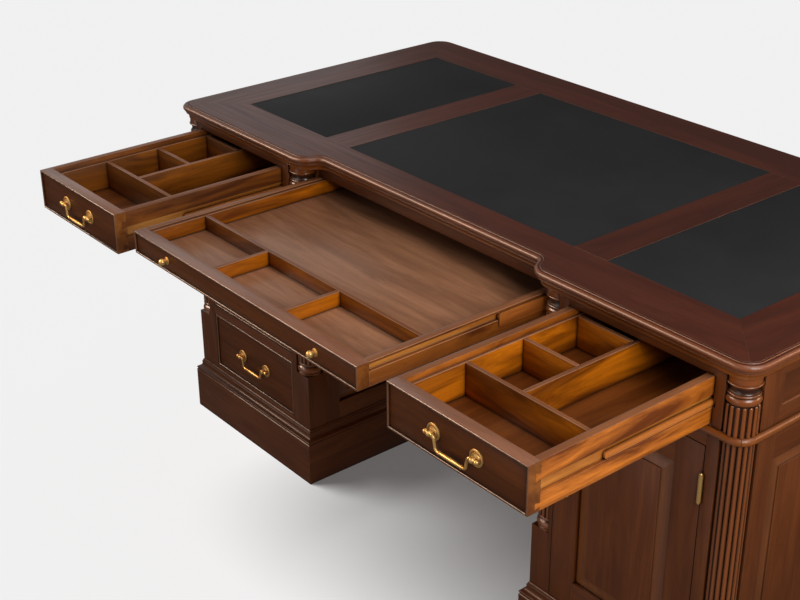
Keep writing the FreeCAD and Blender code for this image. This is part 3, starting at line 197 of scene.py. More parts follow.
class Graph:
    """A material's node tree, with short ways to add and join nodes."""

    MIX_FACTOR, MIX_FIRST, MIX_SECOND, MIX_RESULT = 0, 6, 7, 2   # the Mix node's colour sockets

    def __init__(self, name: str) -> None:
        """Starts a material with a Principled shader and an output.

        Args:
            name: the material's name.
        """
        self.material = bpy.data.materials.new(name)
        self.material.use_nodes = True
        self.nodes = self.material.node_tree.nodes
        self.links = self.material.node_tree.links
        self.nodes.clear()
        output = self.nodes.new("ShaderNodeOutputMaterial")
        self.shader = self.nodes.new("ShaderNodeBsdfPrincipled")
        self.links.new(self.shader.outputs["BSDF"], output.inputs["Surface"])

    def join(self, socket: Socket, value: Socket | Colour | float) -> None:
        """Feeds one input of a node.

        Args:
            socket: the input.
            value: an output socket to link, or a number or colour to set on the input itself.
        """
        if isinstance(value, Socket):
            self.links.new(value, socket)
        elif socket.type == "RGBA":
            socket.default_value = (*value, 1.0)
        else:
            socket.default_value = value

    def feed(self, node: bpy.types.Node, **inputs: Socket | Colour | float) -> None:
        """Feeds several inputs of a node, named with "_" for a space."""
        for key, value in inputs.items():
            self.join(node.inputs[key.replace("_", " ")], value)

    def add(self, kind: str, **inputs: Socket | Colour | float) -> bpy.types.Node:
        """Adds a node.

        Args:
            kind: the node's type name without its "ShaderNode" start.
            inputs: what its inputs are fed with.

        Returns:
            The new node.
        """
        node = self.nodes.new("ShaderNode" + kind)
        self.feed(node, **inputs)
        return node

    def attribute(self, name: Coordinates) -> bpy.types.Node:
        """Reads one of the piece's own attributes.

        Args:
            name: which one.

        Returns:
            The attribute's node.
        """
        node = self.add("Attribute")
        node.attribute_name = name.value
        return node

    def noise(self, source: Socket, pattern: Pattern) -> Socket:
        """Lays a noise over coordinates.

        Args:
            source: coordinates in metres, with the grain along the first.
            pattern: how fine and how broken up the noise is.

        Returns:
            A value between 0 and 1.
        """
        place = self.add("Mapping", Vector=source, Scale=(pattern.along, pattern.across, pattern.across))
        node = self.add("TexNoise", Vector=place.outputs["Vector"], Scale=1.0, Detail=pattern.detail,
                        Roughness=pattern.roughness, Distortion=pattern.distortion)
        return node.outputs["Fac"]

    def spread(self, source: Socket, span: Span, result: Span = (0.0, 1.0)) -> Socket:
        """Stretches a value from one span to another, and clamps it.

        Args:
            source: the value.
            span: where it starts and ends.
            result: what it starts and ends as.

        Returns:
            The stretched value.
        """
        node = self.add("MapRange", Value=source, From_Min=span[0], From_Max=span[1], To_Min=result[0],
                        To_Max=result[1])
        return node.outputs["Result"]

    def blend(self, factor: Socket, first: Socket | Colour, second: Socket | Colour) -> Socket:
        """Mixes two colours.

        Args:
            factor: 0 for the first and 1 for the second.
            first: a colour, or a socket that gives one.
            second: the same.

        Returns:
            The mixed colour.
        """
        node = self.add("Mix")
        node.data_type = "RGBA"
        self.join(node.inputs[self.MIX_FACTOR], factor)
        self.join(node.inputs[self.MIX_FIRST], first)
        self.join(node.inputs[self.MIX_SECOND], second)
        return node.outputs[self.MIX_RESULT]

    def openness(self, reach: float, samples: int, span: Span) -> Socket:
        """Tells open faces from crevices.

        Args:
            reach: how far off, in metres, another face still closes a place in.
            samples: rays for each place.
            span: the open shares that count as closed in and as open.

        Returns:
            0 in crevices and 1 on open faces.
        """
        node = self.add("AmbientOcclusion", Distance=reach)
        node.samples = samples
        return self.spread(node.outputs["AO"], span)

    def emboss(self, height: Socket, relief: Relief) -> None:
        """Tilts the shader's normal by a height."""
        node = self.add("Bump", Height=height, Strength=relief.strength, Distance=relief.height)
        self.feed(self.shader, Normal=node.outputs["Normal"])


@dataclass(frozen=True)
class Finish(ABC):
    """What a surface is treated with."""

    name: str

    @abstractmethod
    def build(self) -> bpy.types.Material:
        """Makes the material."""


@dataclass(frozen=True)
class WoodFinish(Finish):
    """Stained and lacquered wood, whose grain follows each board.

    The figure, fibre and board_tone say how much the colour varies in broad bands, in fine streaks and
    from board to board. A reach in metres says how far off another face still darkens the wood, as
    painted shade in corners, grooves and crevices. In a turning, a share darkens the hollows to near
    black, partly as glaze and partly as painted shade, and the rounds are lightened to a further colour,
    partly as wear and partly as painted highlight. With that share at 0 there is neither.
    """

    dark: Colour
    light: Colour
    figure: float = 0.7
    fibre: float = 0.35
    board_tone: float = 0.12
    # how far off, in metres, another face still casts painted shade into corners and crevices
    crevice: float = 0.006
    roughness: float = 0.38
    specular: float = 0.3
    coat: float = 0.15
    coat_roughness: float = 0.2
    # share of near-black glaze and painted shade in a turning's hollows, and the colour of wear and painted
    # highlight on its rounds
    glaze_and_shade: float = 0.0
    worn_and_lit: Colour = (0.27, 0.064, 0.006)

    FIGURE: ClassVar[Pattern] = Pattern(3.0, 22.0, 4.0, 0.6, 0.9)
    STREAK: ClassVar[Pattern] = Pattern(5.0, 150.0, 4.0, 0.6, 0.3)
    PORE: ClassVar[Pattern] = Pattern(90.0, 1500.0, 2.0)
    FIGURE_SPAN: ClassVar[Span] = (0.38, 0.62)
    STREAK_SPAN: ClassVar[Span] = (0.35, 0.7)
    STREAK_SHARE: ClassVar[float] = 0.55
    PORE_SPAN: ClassVar[Span] = (0.58, 0.7)
    PORE_COVER: ClassVar[float] = 0.35
    PORE_SHARE: ClassVar[float] = 0.4
    # glaze with painted shade in a turning's hollows, wear with painted highlight on its rounds
    GLAZE_AND_SHADE_COLOUR: ClassVar[Colour] = (0.012, 0.004, 0.002)
    GLAZED_AND_SHADED_SPAN: ClassVar[Span] = (0.0, 0.75)
    WORN_AND_LIT_SPAN: ClassVar[Span] = (0.72, 1.0)
    WORN_AND_LIT_COVER: ClassVar[float] = 0.55
    # how the painted shade in corners and crevices is found, and how dark it goes
    OPEN_SPAN: ClassVar[Span] = (0.3, 0.92)
    OPEN_SAMPLES: ClassVar[int] = 4
    PAINTED_SHADE_SHARE: ClassVar[float] = 0.08
    GLOSS_SPAN: ClassVar[Span] = (0.3, 0.7)
    SMOOTHER: ClassVar[float] = 0.05
    ROUGHER: ClassVar[float] = 0.08
    FIBRE_RELIEF: ClassVar[Relief] = Relief(0.06, 0.0004)

    def build(self) -> bpy.types.Material:
        """Makes the material.

        Returns:
            The material.
        """
        graph = Graph(self.name)
        grain = graph.attribute(Coordinates.GRAIN).outputs["Vector"]
        streak = graph.noise(grain, self.STREAK)
        colour = self.level(graph, self.stain(graph, grain, streak))
        # turnings only: glaze and painted shade in the hollows, wear and painted highlight on the rounds
        if self.glaze_and_shade > 0.0:
            colour = self.rub(graph, colour)
        # painted shade: corners, grooves and crevices are darkened towards a small share of the dark colour
        exposed = graph.openness(self.crevice, self.OPEN_SAMPLES, self.OPEN_SPAN)
        colour = graph.blend(exposed, deepened(self.dark, self.PAINTED_SHADE_SHARE), colour)
        gloss = (self.roughness - self.SMOOTHER, self.roughness + self.ROUGHER)
        graph.feed(graph.shader, Base_Color=colour, Roughness=graph.spread(streak, self.GLOSS_SPAN, gloss),
                   Specular_IOR_Level=self.specular, Coat_Weight=self.coat,
                   Coat_Roughness=self.coat_roughness)
        graph.emboss(streak, self.FIBRE_RELIEF)
        return graph.material

    def stain(self, graph: Graph, grain: Socket, streak: Socket) -> Socket:
        """Lays figure, streaks and pores over each other.

        Args:
            graph: the material's nodes.
            grain: the board's coordinates.
            streak: the noise of the fibres.

        Returns:
            The stained colour.
        """
        figure = graph.noise(grain, self.FIGURE)
        pore = graph.noise(grain, self.PORE)
        tone = graph.spread(figure, self.FIGURE_SPAN, (0.5 - self.figure / 2, 0.5 + self.figure / 2))
        colour = graph.blend(tone, self.dark, self.light)
        streaks = graph.spread(streak, self.STREAK_SPAN, (0.0, self.fibre))
        colour = graph.blend(streaks, colour, deepened(self.dark, self.STREAK_SHARE))
        pores = graph.spread(pore, self.PORE_SPAN, (0.0, self.PORE_COVER))
        return graph.blend(pores, colour, deepened(self.dark, self.PORE_SHARE))

    def level(self, graph: Graph, colour: Socket) -> Socket:
        """Makes each board a little darker or lighter than the next.

        Args:
            graph: the material's nodes.
            colour: the stained colour.

        Returns:
            The board's colour.
        """
        board = graph.attribute(Coordinates.BOARD).outputs["Fac"]
        share = graph.spread(board, (0.0, 1.0), (1.0 - self.board_tone, 1.0 + self.board_tone))
        scaled = graph.add("VectorMath", Vector=colour)
        scaled.operation = "SCALE"
        graph.feed(scaled, Scale=share)
        return scaled.outputs["Vector"]

    def rub(self, graph: Graph, colour: Socket) -> Socket:
        """Puts glaze and painted shade in a turning's hollows, and wear and painted highlight on its rounds.

        Args:
            graph: the material's nodes.
            colour: the wood's colour.

        Returns:
            The colour with glaze and painted shade in the hollows, and wear and painted highlight on the
            rounds.
        """
        raised = graph.attribute(Coordinates.RAISED).outputs["Fac"]
        # near-black glaze and painted shade in the hollows
        low = graph.spread(raised, self.GLAZED_AND_SHADED_SPAN, (self.glaze_and_shade, 0.0))
        colour = graph.blend(low, colour, self.GLAZE_AND_SHADE_COLOUR)
        # wear and painted highlight on the rounds
        high = graph.spread(raised, self.WORN_AND_LIT_SPAN, (0.0, self.WORN_AND_LIT_COVER))
        return graph.blend(high, colour, self.worn_and_lit)


@dataclass(frozen=True)
class LeatherFinish(Finish):
    """Dark, fine-grained hide with a dull polish."""

    dark: Colour = (0.021, 0.021, 0.022)
    light: Colour = (0.025, 0.025, 0.026)
    specular: float = 0.05
    cells: float = 900.0

    CLOUD: ClassVar[Pattern] = Pattern(7.0, 7.0, 4.0)
    CLOUD_SPAN: ClassVar[Span] = (0.35, 0.65)
    GLOSS_SPAN: ClassVar[Span] = (0.3, 0.7)
    GLOSS: ClassVar[Span] = (0.5, 0.6)
    CREASE_SPAN: ClassVar[Span] = (0.0, 0.12)
    CREASE_RELIEF: ClassVar[Relief] = Relief(0.25, 0.0002)

    def build(self) -> bpy.types.Material:
        """Makes the material.

        Returns:
            The material.
        """
        graph = Graph(self.name)
        place = graph.add("TexCoord").outputs["Object"]
        cells = graph.add("TexVoronoi", Vector=place, Scale=self.cells)
        cells.feature = "DISTANCE_TO_EDGE"
        cloud = graph.noise(place, self.CLOUD)
        graph.feed(graph.shader,
                   Base_Color=graph.blend(graph.spread(cloud, self.CLOUD_SPAN), self.dark, self.light),
                   Roughness=graph.spread(cloud, self.GLOSS_SPAN, self.GLOSS),
                   Specular_IOR_Level=self.specular)
        graph.emboss(graph.spread(cells.outputs["Distance"], self.CREASE_SPAN), self.CREASE_RELIEF)
        return graph.material


@dataclass(frozen=True)
class BrassFinish(Finish):
    """Antique brass: toned in the hollows, rubbed bright on what stands out."""

    bright: Colour = (0.78, 0.47, 0.155)
    toned: Colour = (0.4, 0.22, 0.065)
    metallic: float = 0.75
    roughness: float = 0.38
    hollow: float = 0.004

    TARNISH: ClassVar[Pattern] = Pattern(120.0, 120.0, 4.0, 0.6)
    TARNISH_SPAN: ClassVar[Span] = (0.3, 0.7)
    TARNISH_COVER: ClassVar[float] = 0.45
    SCRATCH: ClassVar[Pattern] = Pattern(900.0, 900.0, 2.0)
    SCRATCH_RELIEF: ClassVar[Relief] = Relief(0.017, 0.0002)
    OPEN_SPAN: ClassVar[Span] = (0.25, 0.8)
    OPEN_SAMPLES: ClassVar[int] = 6
    SMOOTHER: ClassVar[float] = 0.07
    ROUGHER: ClassVar[float] = 0.1

    def build(self) -> bpy.types.Material:
        """Makes the material.

        Returns:
            The material.
        """
        graph = Graph(self.name)
        place = graph.add("TexCoord").outputs["Object"]
        tarnish = graph.noise(place, self.TARNISH)
        cover = graph.spread(tarnish, self.TARNISH_SPAN, (0.0, self.TARNISH_COVER))
        exposed = graph.openness(self.hollow, self.OPEN_SAMPLES, self.OPEN_SPAN)
        colour = graph.blend(exposed, self.toned, graph.blend(cover, self.bright, self.toned))
        gloss = (self.roughness - self.SMOOTHER, self.roughness + self.ROUGHER)
        graph.feed(graph.shader, Base_Color=colour, Metallic=self.metallic,
                   Roughness=graph.spread(tarnish, self.TARNISH_SPAN, gloss))
        graph.emboss(graph.noise(place, self.SCRATCH), self.SCRATCH_RELIEF)
        return graph.material


@dataclass(frozen=True)
class FloorFinish(Finish):
    """Pale, even studio floor that glows a little, so that shadows on it stay soft."""

    colour: Colour = (0.6, 0.6, 0.6)
    roughness: float = 0.7
    glow: float = 0.1

    CLOUD: ClassVar[Pattern] = Pattern(2.0, 2.0, 3.0)
    CLOUD_SHARE: ClassVar[float] = 0.99

    def build(self) -> bpy.types.Material:
        """Makes the material.

        Returns:
            The material.
        """
        graph = Graph(self.name)
        place = graph.add("TexCoord").outputs["Object"]
        cloud = graph.noise(place, self.CLOUD)
        colour = graph.blend(cloud, self.colour, deepened(self.colour, self.CLOUD_SHARE))
        graph.feed(graph.shader, Base_Color=colour, Roughness=self.roughness, Specular_IOR_Level=0.0,
                   Emission_Color=WHITE, Emission_Strength=self.glow)
        return graph.material


class Workshop:
    """Makes each finish once and hands it out."""

    def __init__(self) -> None:
        """Starts with no finish made."""
        self.made: dict[str, bpy.types.Material] = {}

    def get(self, finish: Finish) -> bpy.types.Material:
        """Hands out a finish.

        Args:
            finish: what is asked for.

        Returns:
            Its material.
        """
        if finish.name not in self.made:
            self.made[finish.name] = finish.build()
        return self.made[finish.name]


# Top
TOP = WoodFinish("lacquered_top", (0.055, 0.0113, 0.0044), (0.096, 0.021, 0.0086), crevice=0.0015)
# eased edges of the top boards, pale pink, as painted highlight
TOP_EDGE_HIGHLIGHT = WoodFinish("lacquered_top_edge", (0.15, 0.065, 0.04), (0.21, 0.1, 0.062), crevice=0.0015)
# the top's moulded edge, much lighter and more orange than its flat face, as painted highlight
NOSING = WoodFinish("lacquered_nosing", (0.13, 0.03, 0.005), (0.21, 0.052, 0.009), crevice=0.003,
                    roughness=0.4, specular=0.6, coat=0.1, coat_roughness=0.3)
# cove and astragals, lighter and more orange than the case, as painted warm reflected light
COVE = WoodFinish("lacquered_cove", (0.14, 0.034, 0.003), (0.24, 0.062, 0.006), roughness=0.36,
                  specular=0.35, coat=0.1)
LEATHER = LeatherFinish("dark_hide")

# Case, doors and fronts
CASE = WoodFinish("lacquered_case", (0.088, 0.021, 0.0038), (0.142, 0.037, 0.007), specular=0.2, coat=0.08)
CASE_EDGE = WoodFinish("lacquered_case_edge", (0.1, 0.03, 0.008), (0.16, 0.05, 0.014), roughness=0.42,
                       coat=0.0)
# sloping faces of the panels, lighter than the case, as painted light where the bevels catch it
BEVEL = WoodFinish("lacquered_bevel", (0.118, 0.031, 0.0046), (0.188, 0.052, 0.0085), crevice=0.003,
                   specular=0.45)
# capitals and columns: glaze and painted shade in the hollows, wear and painted highlight on the rounds
TURNED = WoodFinish("rubbed_turning", (0.075, 0.019, 0.0035), (0.13, 0.037, 0.007), crevice=0.004,
                    roughness=0.3, specular=0.45, coat=0.5, glaze_and_shade=0.94)
INSIDE = WoodFinish("plain_inside", (0.1, 0.04, 0.014), (0.18, 0.075, 0.028), roughness=0.55, coat=0.0)
FRONT = WoodFinish("lacquered_front", (0.08, 0.019, 0.0026), (0.14, 0.035, 0.0045), crevice=0.008,
                   specular=0.12, coat=0.08)
FRONT_END = WoodFinish("oiled_front_end", (0.13, 0.036, 0.006), (0.28, 0.09, 0.013), figure=0.9)
# upper faces of the fronts, pale pink, as painted reflection of the light above
FRONT_RIM_REFLECTION = WoodFinish("lacquered_front_rim", (0.21, 0.082, 0.042), (0.31, 0.13, 0.07), coat=0.3)
# cock beads, lighter than the fronts, as painted highlight
BEAD = WoodFinish("lacquered_bead", (0.15, 0.05, 0.016), (0.22, 0.078, 0.026), roughness=0.32,
                  specular=0.8, coat=0.2)
BRASS = BrassFinish("antique_brass")

# Drawer boxes, trays and slides
BOX = WoodFinish("oiled_box", (0.13, 0.027, 0.002), (0.58, 0.165, 0.015), figure=1.0, specular=0.28)
# a darker copy of the box wood, as painted shade, for the left and centre drawers; BOX is the lit copy
PAINTED_SHADE_BOX = WoodFinish("oiled_shaded_box", (0.08, 0.018, 0.0022), (0.27, 0.078, 0.009), figure=1.0,
                        specular=0.28)
BOX_RIM = WoodFinish("oiled_box_rim", (0.18, 0.06, 0.022), (0.27, 0.1, 0.038), specular=0.2)
# eased edges of drawer boxes and trays, pale pink, as painted highlight
RIM_EDGE_HIGHLIGHT = WoodFinish("oiled_rim_edge", (0.3, 0.14, 0.075), (0.4, 0.2, 0.11))
GROOVE = WoodFinish("oiled_groove", (0.38, 0.12, 0.015), (0.62, 0.25, 0.04), figure=1.0)
BOTTOM = WoodFinish("oiled_bottom", (0.078, 0.019, 0.003), (0.16, 0.043, 0.007), fibre=0.2,
                    specular=0.15, coat=0.05)
WIDE_BOTTOM = WoodFinish("oiled_wide_bottom", (0.2, 0.08, 0.037), (0.4, 0.18, 0.09), fibre=0.2)
TRAY = WoodFinish("oiled_tray", (0.14, 0.032, 0.001), (0.52, 0.14, 0.003), figure=1.0, specular=0.2)
# a darker copy of the tray wood, as painted shade, for the left drawer; TRAY is the lit copy
PAINTED_SHADE_TRAY = WoodFinish("oiled_shaded_tray", (0.13, 0.034, 0.002), (0.36, 0.105, 0.006), figure=1.0,
                         specular=0.25)
SLIDE = WoodFinish("waxed_slide", (0.2, 0.052, 0.008), (0.4, 0.12, 0.018), figure=1.0)

FLOOR = FloorFinish("studio_floor")


# ---------------------------------------------------------------- dressing
MERGE_GRID = 1e6          # corners on the same micrometre are one
FLAT_DEGREES = 0.6        # facets that turn by less become one face
SHARP_DEGREES = 40.0      # edges that turn by more are eased
GRAIN_SHIFT = 9.0         # metres by which a board's grain is shifted at most, so that no two are alike
OUTER_COLUMN_X = 0.760    # axes of the turnings, either side of the desk's middle
KNEE_COLUMN_X = 0.376
COLUMN_Y = 0.351
ROUND_HEIGHT = 0.0036     # how far a turning's rounds stand out from its hollows


def deselect() -> None:
    """Leaves edit mode and selects nothing."""
    if bpy.context.object and bpy.context.object.mode != "OBJECT":
        bpy.ops.object.mode_set(mode="OBJECT")
    bpy.ops.object.select_all(action="DESELECT")


def activate(piece: bpy.types.Object) -> None:
    """Selects one object alone and makes it the active one.

    Args:
        piece: the object.
    """
    deselect()
    piece.select_set(True)
    bpy.context.view_layer.objects.active = piece


def points_of(mesh: bpy.types.Mesh) -> np.ndarray:
    """Reads where a mesh's vertices are.

    Args:
        mesh: the mesh.

    Returns:
        One row of x, y and z for each vertex.
    """
    points = np.empty(len(mesh.vertices) * 3)
    mesh.vertices.foreach_get("co", points)
    return points.reshape(-1, 3)


def islands(mesh: bpy.types.Mesh) -> np.ndarray:
    """Numbers the separate solids of a mesh.

    Args:
        mesh: a merged mesh.

    Returns:
        One number for each vertex, the same for all vertices of one solid.
    """
    owner = np.arange(len(mesh.vertices))
    edges = np.empty(len(mesh.edges) * 2, dtype=np.int64)
    mesh.edges.foreach_get("vertices", edges)
    first, second = edges.reshape(-1, 2).T
    while True:
        low = np.minimum(owner[first], owner[second])
        before = owner.copy()
        np.minimum.at(owner, first, low)
        np.minimum.at(owner, second, low)
        owner = owner[owner]
        if np.array_equal(owner, before):
            break
    return np.unique(owner, return_inverse=True)[1]


def merged(mesh: bpy.types.Mesh, name: str) -> bpy.types.Mesh:
    """Copies a CAD mesh with the corners joined inside each solid, but not across solids that touch.

    Args:
        mesh: loose faces, one solid after another. A solid ends where no edge is left open.
        name: the copy's name.

    Returns:
        The copy, with no materials.
    """
    points = points_of(mesh)
    cells = np.round(points * MERGE_GRID).astype(np.int64)
    spots = np.unique(cells, axis=0, return_inverse=True)[1].ravel()
    corners: dict[tuple[int, int], int] = {}
    places: list[np.ndarray] = []
    faces: list[list[int]] = []
    unpaired: set[tuple[int, int]] = set()
    solid = 0
    for polygon in mesh.polygons:
        ring = [(int(spots[vertex]), vertex) for vertex in polygon.vertices]
        for (start, _), (end, _) in zip(ring, ring[1:] + ring[:1]):
            if start != end and (end, start) in unpaired:
                unpaired.remove((end, start))
            elif start != end:
                unpaired.add((start, end))
        face: list[int] = []
        for spot, vertex in ring:
            if (solid, spot) not in corners:
                corners[solid, spot] = len(places)
                places.append(points[vertex])
            if corners[solid, spot] not in face:
                face.append(corners[solid, spot])
        if len(face) > 2:
            faces.append(face)
        if not unpaired:
            solid += 1
    copy = bpy.data.meshes.new(name)
    copy.from_pydata(places, [], faces)
    copy.update()
    return copy


@dataclass(frozen=True)
class Dressing:
    """How the solids of one CAD node are eased and finished.

    The finish covers the faces, the edge finish the eased edges, and each patch its own faces. The ease
    is in metres, and smooth_below in degrees. The hollow is a turning's radius in its hollows, and is 0
    for everything else. It changes no shape and only tells the finish what stands out.
    """

    slot: Slot
    finish: Finish
    edge: Finish | None = None
    ease: float = 0.0008
    segments: int = 2
    grain: Grain = Grain.LONGEST
    smooth_below: float = 32.0
    hollow: float = 0.0
    patches: dict[Patch, Finish] = field(default_factory=dict)

    def apply(self, node: str, workshop: Workshop) -> bpy.types.Object:
        """Makes an eased copy of a node that stands in for it.

        Args:
            node: the CAD node's name.
            workshop: where the finishes are made.

        Returns:
            The new piece, riding on the node's body.
        """
        source = frame["nodes"][node]
        piece = bpy.data.objects.new(node + "_dressed", merged(source.data, node + "_dressed"))
        bpy.context.scene.collection.objects.link(piece)
        activate(piece)
        bpy.ops.object.mode_set(mode="EDIT")
        bpy.ops.mesh.select_all(action="SELECT")
        bpy.ops.mesh.dissolve_limited(angle_limit=math.radians(FLAT_DEGREES))
        bpy.ops.object.mode_set(mode="OBJECT")
        self.set_materials(piece, workshop)
        if self.ease > 0.0:
            self.ease_edges(piece)
        activate(piece)
        bpy.ops.object.shade_smooth_by_angle(angle=math.radians(self.smooth_below))
        self.mark(piece)
        self.sort_faces(piece)
        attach(piece, body_of(source)[0])
        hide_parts(node)
        return piece

    def set_materials(self, piece: bpy.types.Object, workshop: Workshop) -> None:
        """Gives a piece its materials, in the order of faces, eased edges and patches.

        Args:
            piece: the piece.
            workshop: where the finishes are made.
        """
        piece.data.materials.clear()
        for finish in (self.finish, self.edge or self.finish, *self.patches.values()):
            piece.data.materials.append(workshop.get(finish))

    def ease_edges(self, piece: bpy.types.Object) -> None:
        """Rounds the sharp edges with a bevel.

        Args:
            piece: the piece.
        """
        bevel = piece.modifiers.new("ease", "BEVEL")
        bevel.width = self.ease
        bevel.segments = self.segments
        bevel.limit_method = "ANGLE"
        bevel.angle_limit = math.radians(SHARP_DEGREES)
        bevel.use_clamp_overlap = True
        bevel.miter_outer = "MITER_ARC"
        bevel.material = 1 if self.edge else 0
        activate(piece)
        bpy.ops.object.modifier_apply(modifier=bevel.name)

    def mark(self, piece: bpy.types.Object) -> None:
        """Stores the grain's coordinates, each board's tone and how far a turning stands out.

        Args:
            piece: the piece.
        """
        points = points_of(piece.data)
        solid = islands(piece.data)
        dice = random.Random(piece.name)
        grain = np.empty_like(points)
        board = np.empty(len(points))
        raised = np.ones(len(points))
        for number in range(solid.max() + 1):
            own = solid == number
            size = points[own].max(axis=0) - points[own].min(axis=0)
            along = int(np.argmax(size)) if self.grain is Grain.LONGEST else self.grain.value
            across = [axis for axis in range(3) if axis != along]
            offset = [dice.uniform(0.0, GRAIN_SHIFT) for _ in range(3)]
            for column, axis in enumerate((along, *across)):
                grain[own, column] = points[own, axis] + offset[column]
            board[own] = dice.random()
            if self.hollow > 0.0:
                raised[own] = self.standing_out(points[own])
        self.store(piece.data, Coordinates.GRAIN, grain)
        self.store(piece.data, Coordinates.BOARD, board)
        self.store(piece.data, Coordinates.RAISED, raised)

    def standing_out(self, points: np.ndarray) -> np.ndarray:
        """Tells the rounds of a turning from its hollows.

        Args:
            points: the vertices of one turning.

        Returns:
            One value for each vertex, from 0 in the hollows to 1 on the highest rounds.
        """
        x, y = np.abs(points[:, 0]), np.abs(points[:, 1])
        outer = x.mean() > (OUTER_COLUMN_X + KNEE_COLUMN_X) / 2
        radius = np.hypot(x - (OUTER_COLUMN_X if outer else KNEE_COLUMN_X), y - COLUMN_Y)
        return np.clip((radius - self.hollow) / ROUND_HEIGHT, 0.0, 1.0)

    @staticmethod
    def store(mesh: bpy.types.Mesh, name: Coordinates, values: np.ndarray) -> None:
        """Writes a number, or a row of three, for each vertex to an attribute of a mesh.

        Args:
            mesh: the mesh.
            name: the attribute.
            values: the numbers or rows.
        """
        kind, key = ("FLOAT_VECTOR", "vector") if values.ndim > 1 else ("FLOAT", "value")
        attribute = mesh.attributes.new(name.value, kind, "POINT")
        attribute.data.foreach_set(key, values.astype(np.float32).ravel())

    def sort_faces(self, piece: bpy.types.Object) -> None:
        """Gives the faces of each patch their own finish. Eased edges keep theirs.

        Args:
            piece: the piece.
        """
        points = points_of(piece.data)
        solid = islands(piece.data)
        boxes = [(points[solid == number].min(axis=0), points[solid == number].max(axis=0))
                 for number in range(solid.max() + 1)]
        for face in piece.data.polygons:
            if face.material_index == 0:
                low, high = boxes[solid[face.vertices[0]]]
                held = (number for number, patch in enumerate(self.patches, start=2)
                        if patch.holds(face, low, high))
                face.material_index = next(held, 0)


# ---------------------------------------------------------------- sub-assemblies
@dataclass
class SubAssembly(ABC):
    """Nodes that are dressed together."""

    workshop: Workshop
    name: str = "sub-assembly"

    @abstractmethod
    def plan(self) -> dict[str, Dressing]:
        """Returns the dressing of each node."""

    def build(self) -> list[bpy.types.Object]:
        """Returns the pieces that stand in for the nodes of the plan."""
        return [dressing.apply(node, self.workshop) for node, dressing in self.plan().items()]


@dataclass
class Top(SubAssembly):
    """Mitred borders, crossbars, leather and the cove under them."""

    name: str = "top"
    seam: float = 0.0003
    hide_edge: float = 0.0005

    def plan(self) -> dict[str, Dressing]:
        """Plans the top.

        Returns:
            The dressing of each node.
        """
        board = Dressing(Slot.TOP, TOP, TOP_EDGE_HIGHLIGHT, ease=self.seam, segments=1, patches={Patch.NOSING: NOSING})
        return {
            "top_border_long": board,
            "top_border_ends": board,
            "top_crossbars": board,
            "top_core": Dressing(Slot.INSIDE, INSIDE, ease=0.0),
            "leather_panels": Dressing(Slot.HIDE, LEATHER, ease=self.hide_edge),
            "cove_moulding": Dressing(Slot.TOP, COVE, CASE_EDGE, ease=self.seam, segments=1),
        }


@dataclass
class Frieze(SubAssembly):
    """Posts, rails, floors, guides, capitals and the fixed fronts at the back."""

    name: str = "frieze"
    ease: float = 0.0008
    astragal_ease: float = 0.0004
    lobe_hollow: float = 0.0228
    lobe_smooth: float = 38.0

    def plan(self) -> dict[str, Dressing]:
        """Plans the frieze.

        Returns:
            The dressing of each node.
        """
        case = Dressing(Slot.CASE, CASE, CASE_EDGE, ease=self.ease)
        return {
            "frieze_posts": case,
            "frieze_rails": case,
            "frieze_floors": Dressing(Slot.INSIDE, CASE, CASE_EDGE, ease=self.ease),
            "frieze_guides": Dressing(Slot.INSIDE, INSIDE, ease=self.ease),
            "back_frieze_fronts": Dressing(Slot.FRONT, CASE, CASE_EDGE, ease=self.ease,
                                           patches={Patch.BEAD: BEAD}),
            "back_frieze_knobs": Dressing(Slot.BRASS, BRASS, ease=0.0),
            "capitals": Dressing(Slot.TURNED, TURNED, ease=0.0, hollow=self.lobe_hollow,
                                 smooth_below=self.lobe_smooth),
            "astragals": Dressing(Slot.CASE, COVE, CASE_EDGE, ease=self.astragal_ease, segments=1),
        }


@dataclass
class Pedestals(SubAssembly):
    """Posts, columns, rails, panels, boards and plinths."""

    name: str = "pedestals"
    ease: float = 0.0009
    reed_hollow: float = 0.0224
    reed_smooth: float = 38.0

    def plan(self) -> dict[str, Dressing]:
        """Plans the pedestals.

        Returns:
            The dressing of each node.
        """
        board = Dressing(Slot.CASE, CASE, CASE_EDGE, ease=self.ease)
        return {
            "pedestal_posts": board,
            "columns": Dressing(Slot.TURNED, TURNED, ease=0.0, hollow=self.reed_hollow,
                                grain=Grain.ALONG_Z, smooth_below=self.reed_smooth),
            "side_rails": board,
            "side_panels": Dressing(Slot.PANEL, CASE, CASE_EDGE, ease=self.ease, grain=Grain.ALONG_Z,
                                    patches={Patch.BEVEL: BEVEL}),
            "pedestal_boards": Dressing(Slot.INSIDE, INSIDE, ease=self.ease),
            "front_rails": board,
            "plinths": board,
            "hinge_leaves": Dressing(Slot.BRASS, BRASS, ease=0.0),
        }


@dataclass
class Door(SubAssembly):
    """A framed and fielded door with its knob and hinge leaves."""

    name: str = "front_right_door"
    ease: float = 0.001

    def plan(self) -> dict[str, Dressing]:
        """Plans the door.

        Returns:
            The dressing of each node.
        """
        return {
            f"{self.name}_frame": Dressing(Slot.DOOR, CASE, CASE_EDGE, ease=self.ease),
            f"{self.name}_panel": Dressing(Slot.DOOR, CASE, CASE_EDGE, ease=self.ease,
                                           patches={Patch.BEVEL: BEVEL}),
            f"{self.name}_brass": Dressing(Slot.BRASS, BRASS, ease=0.0),
        }


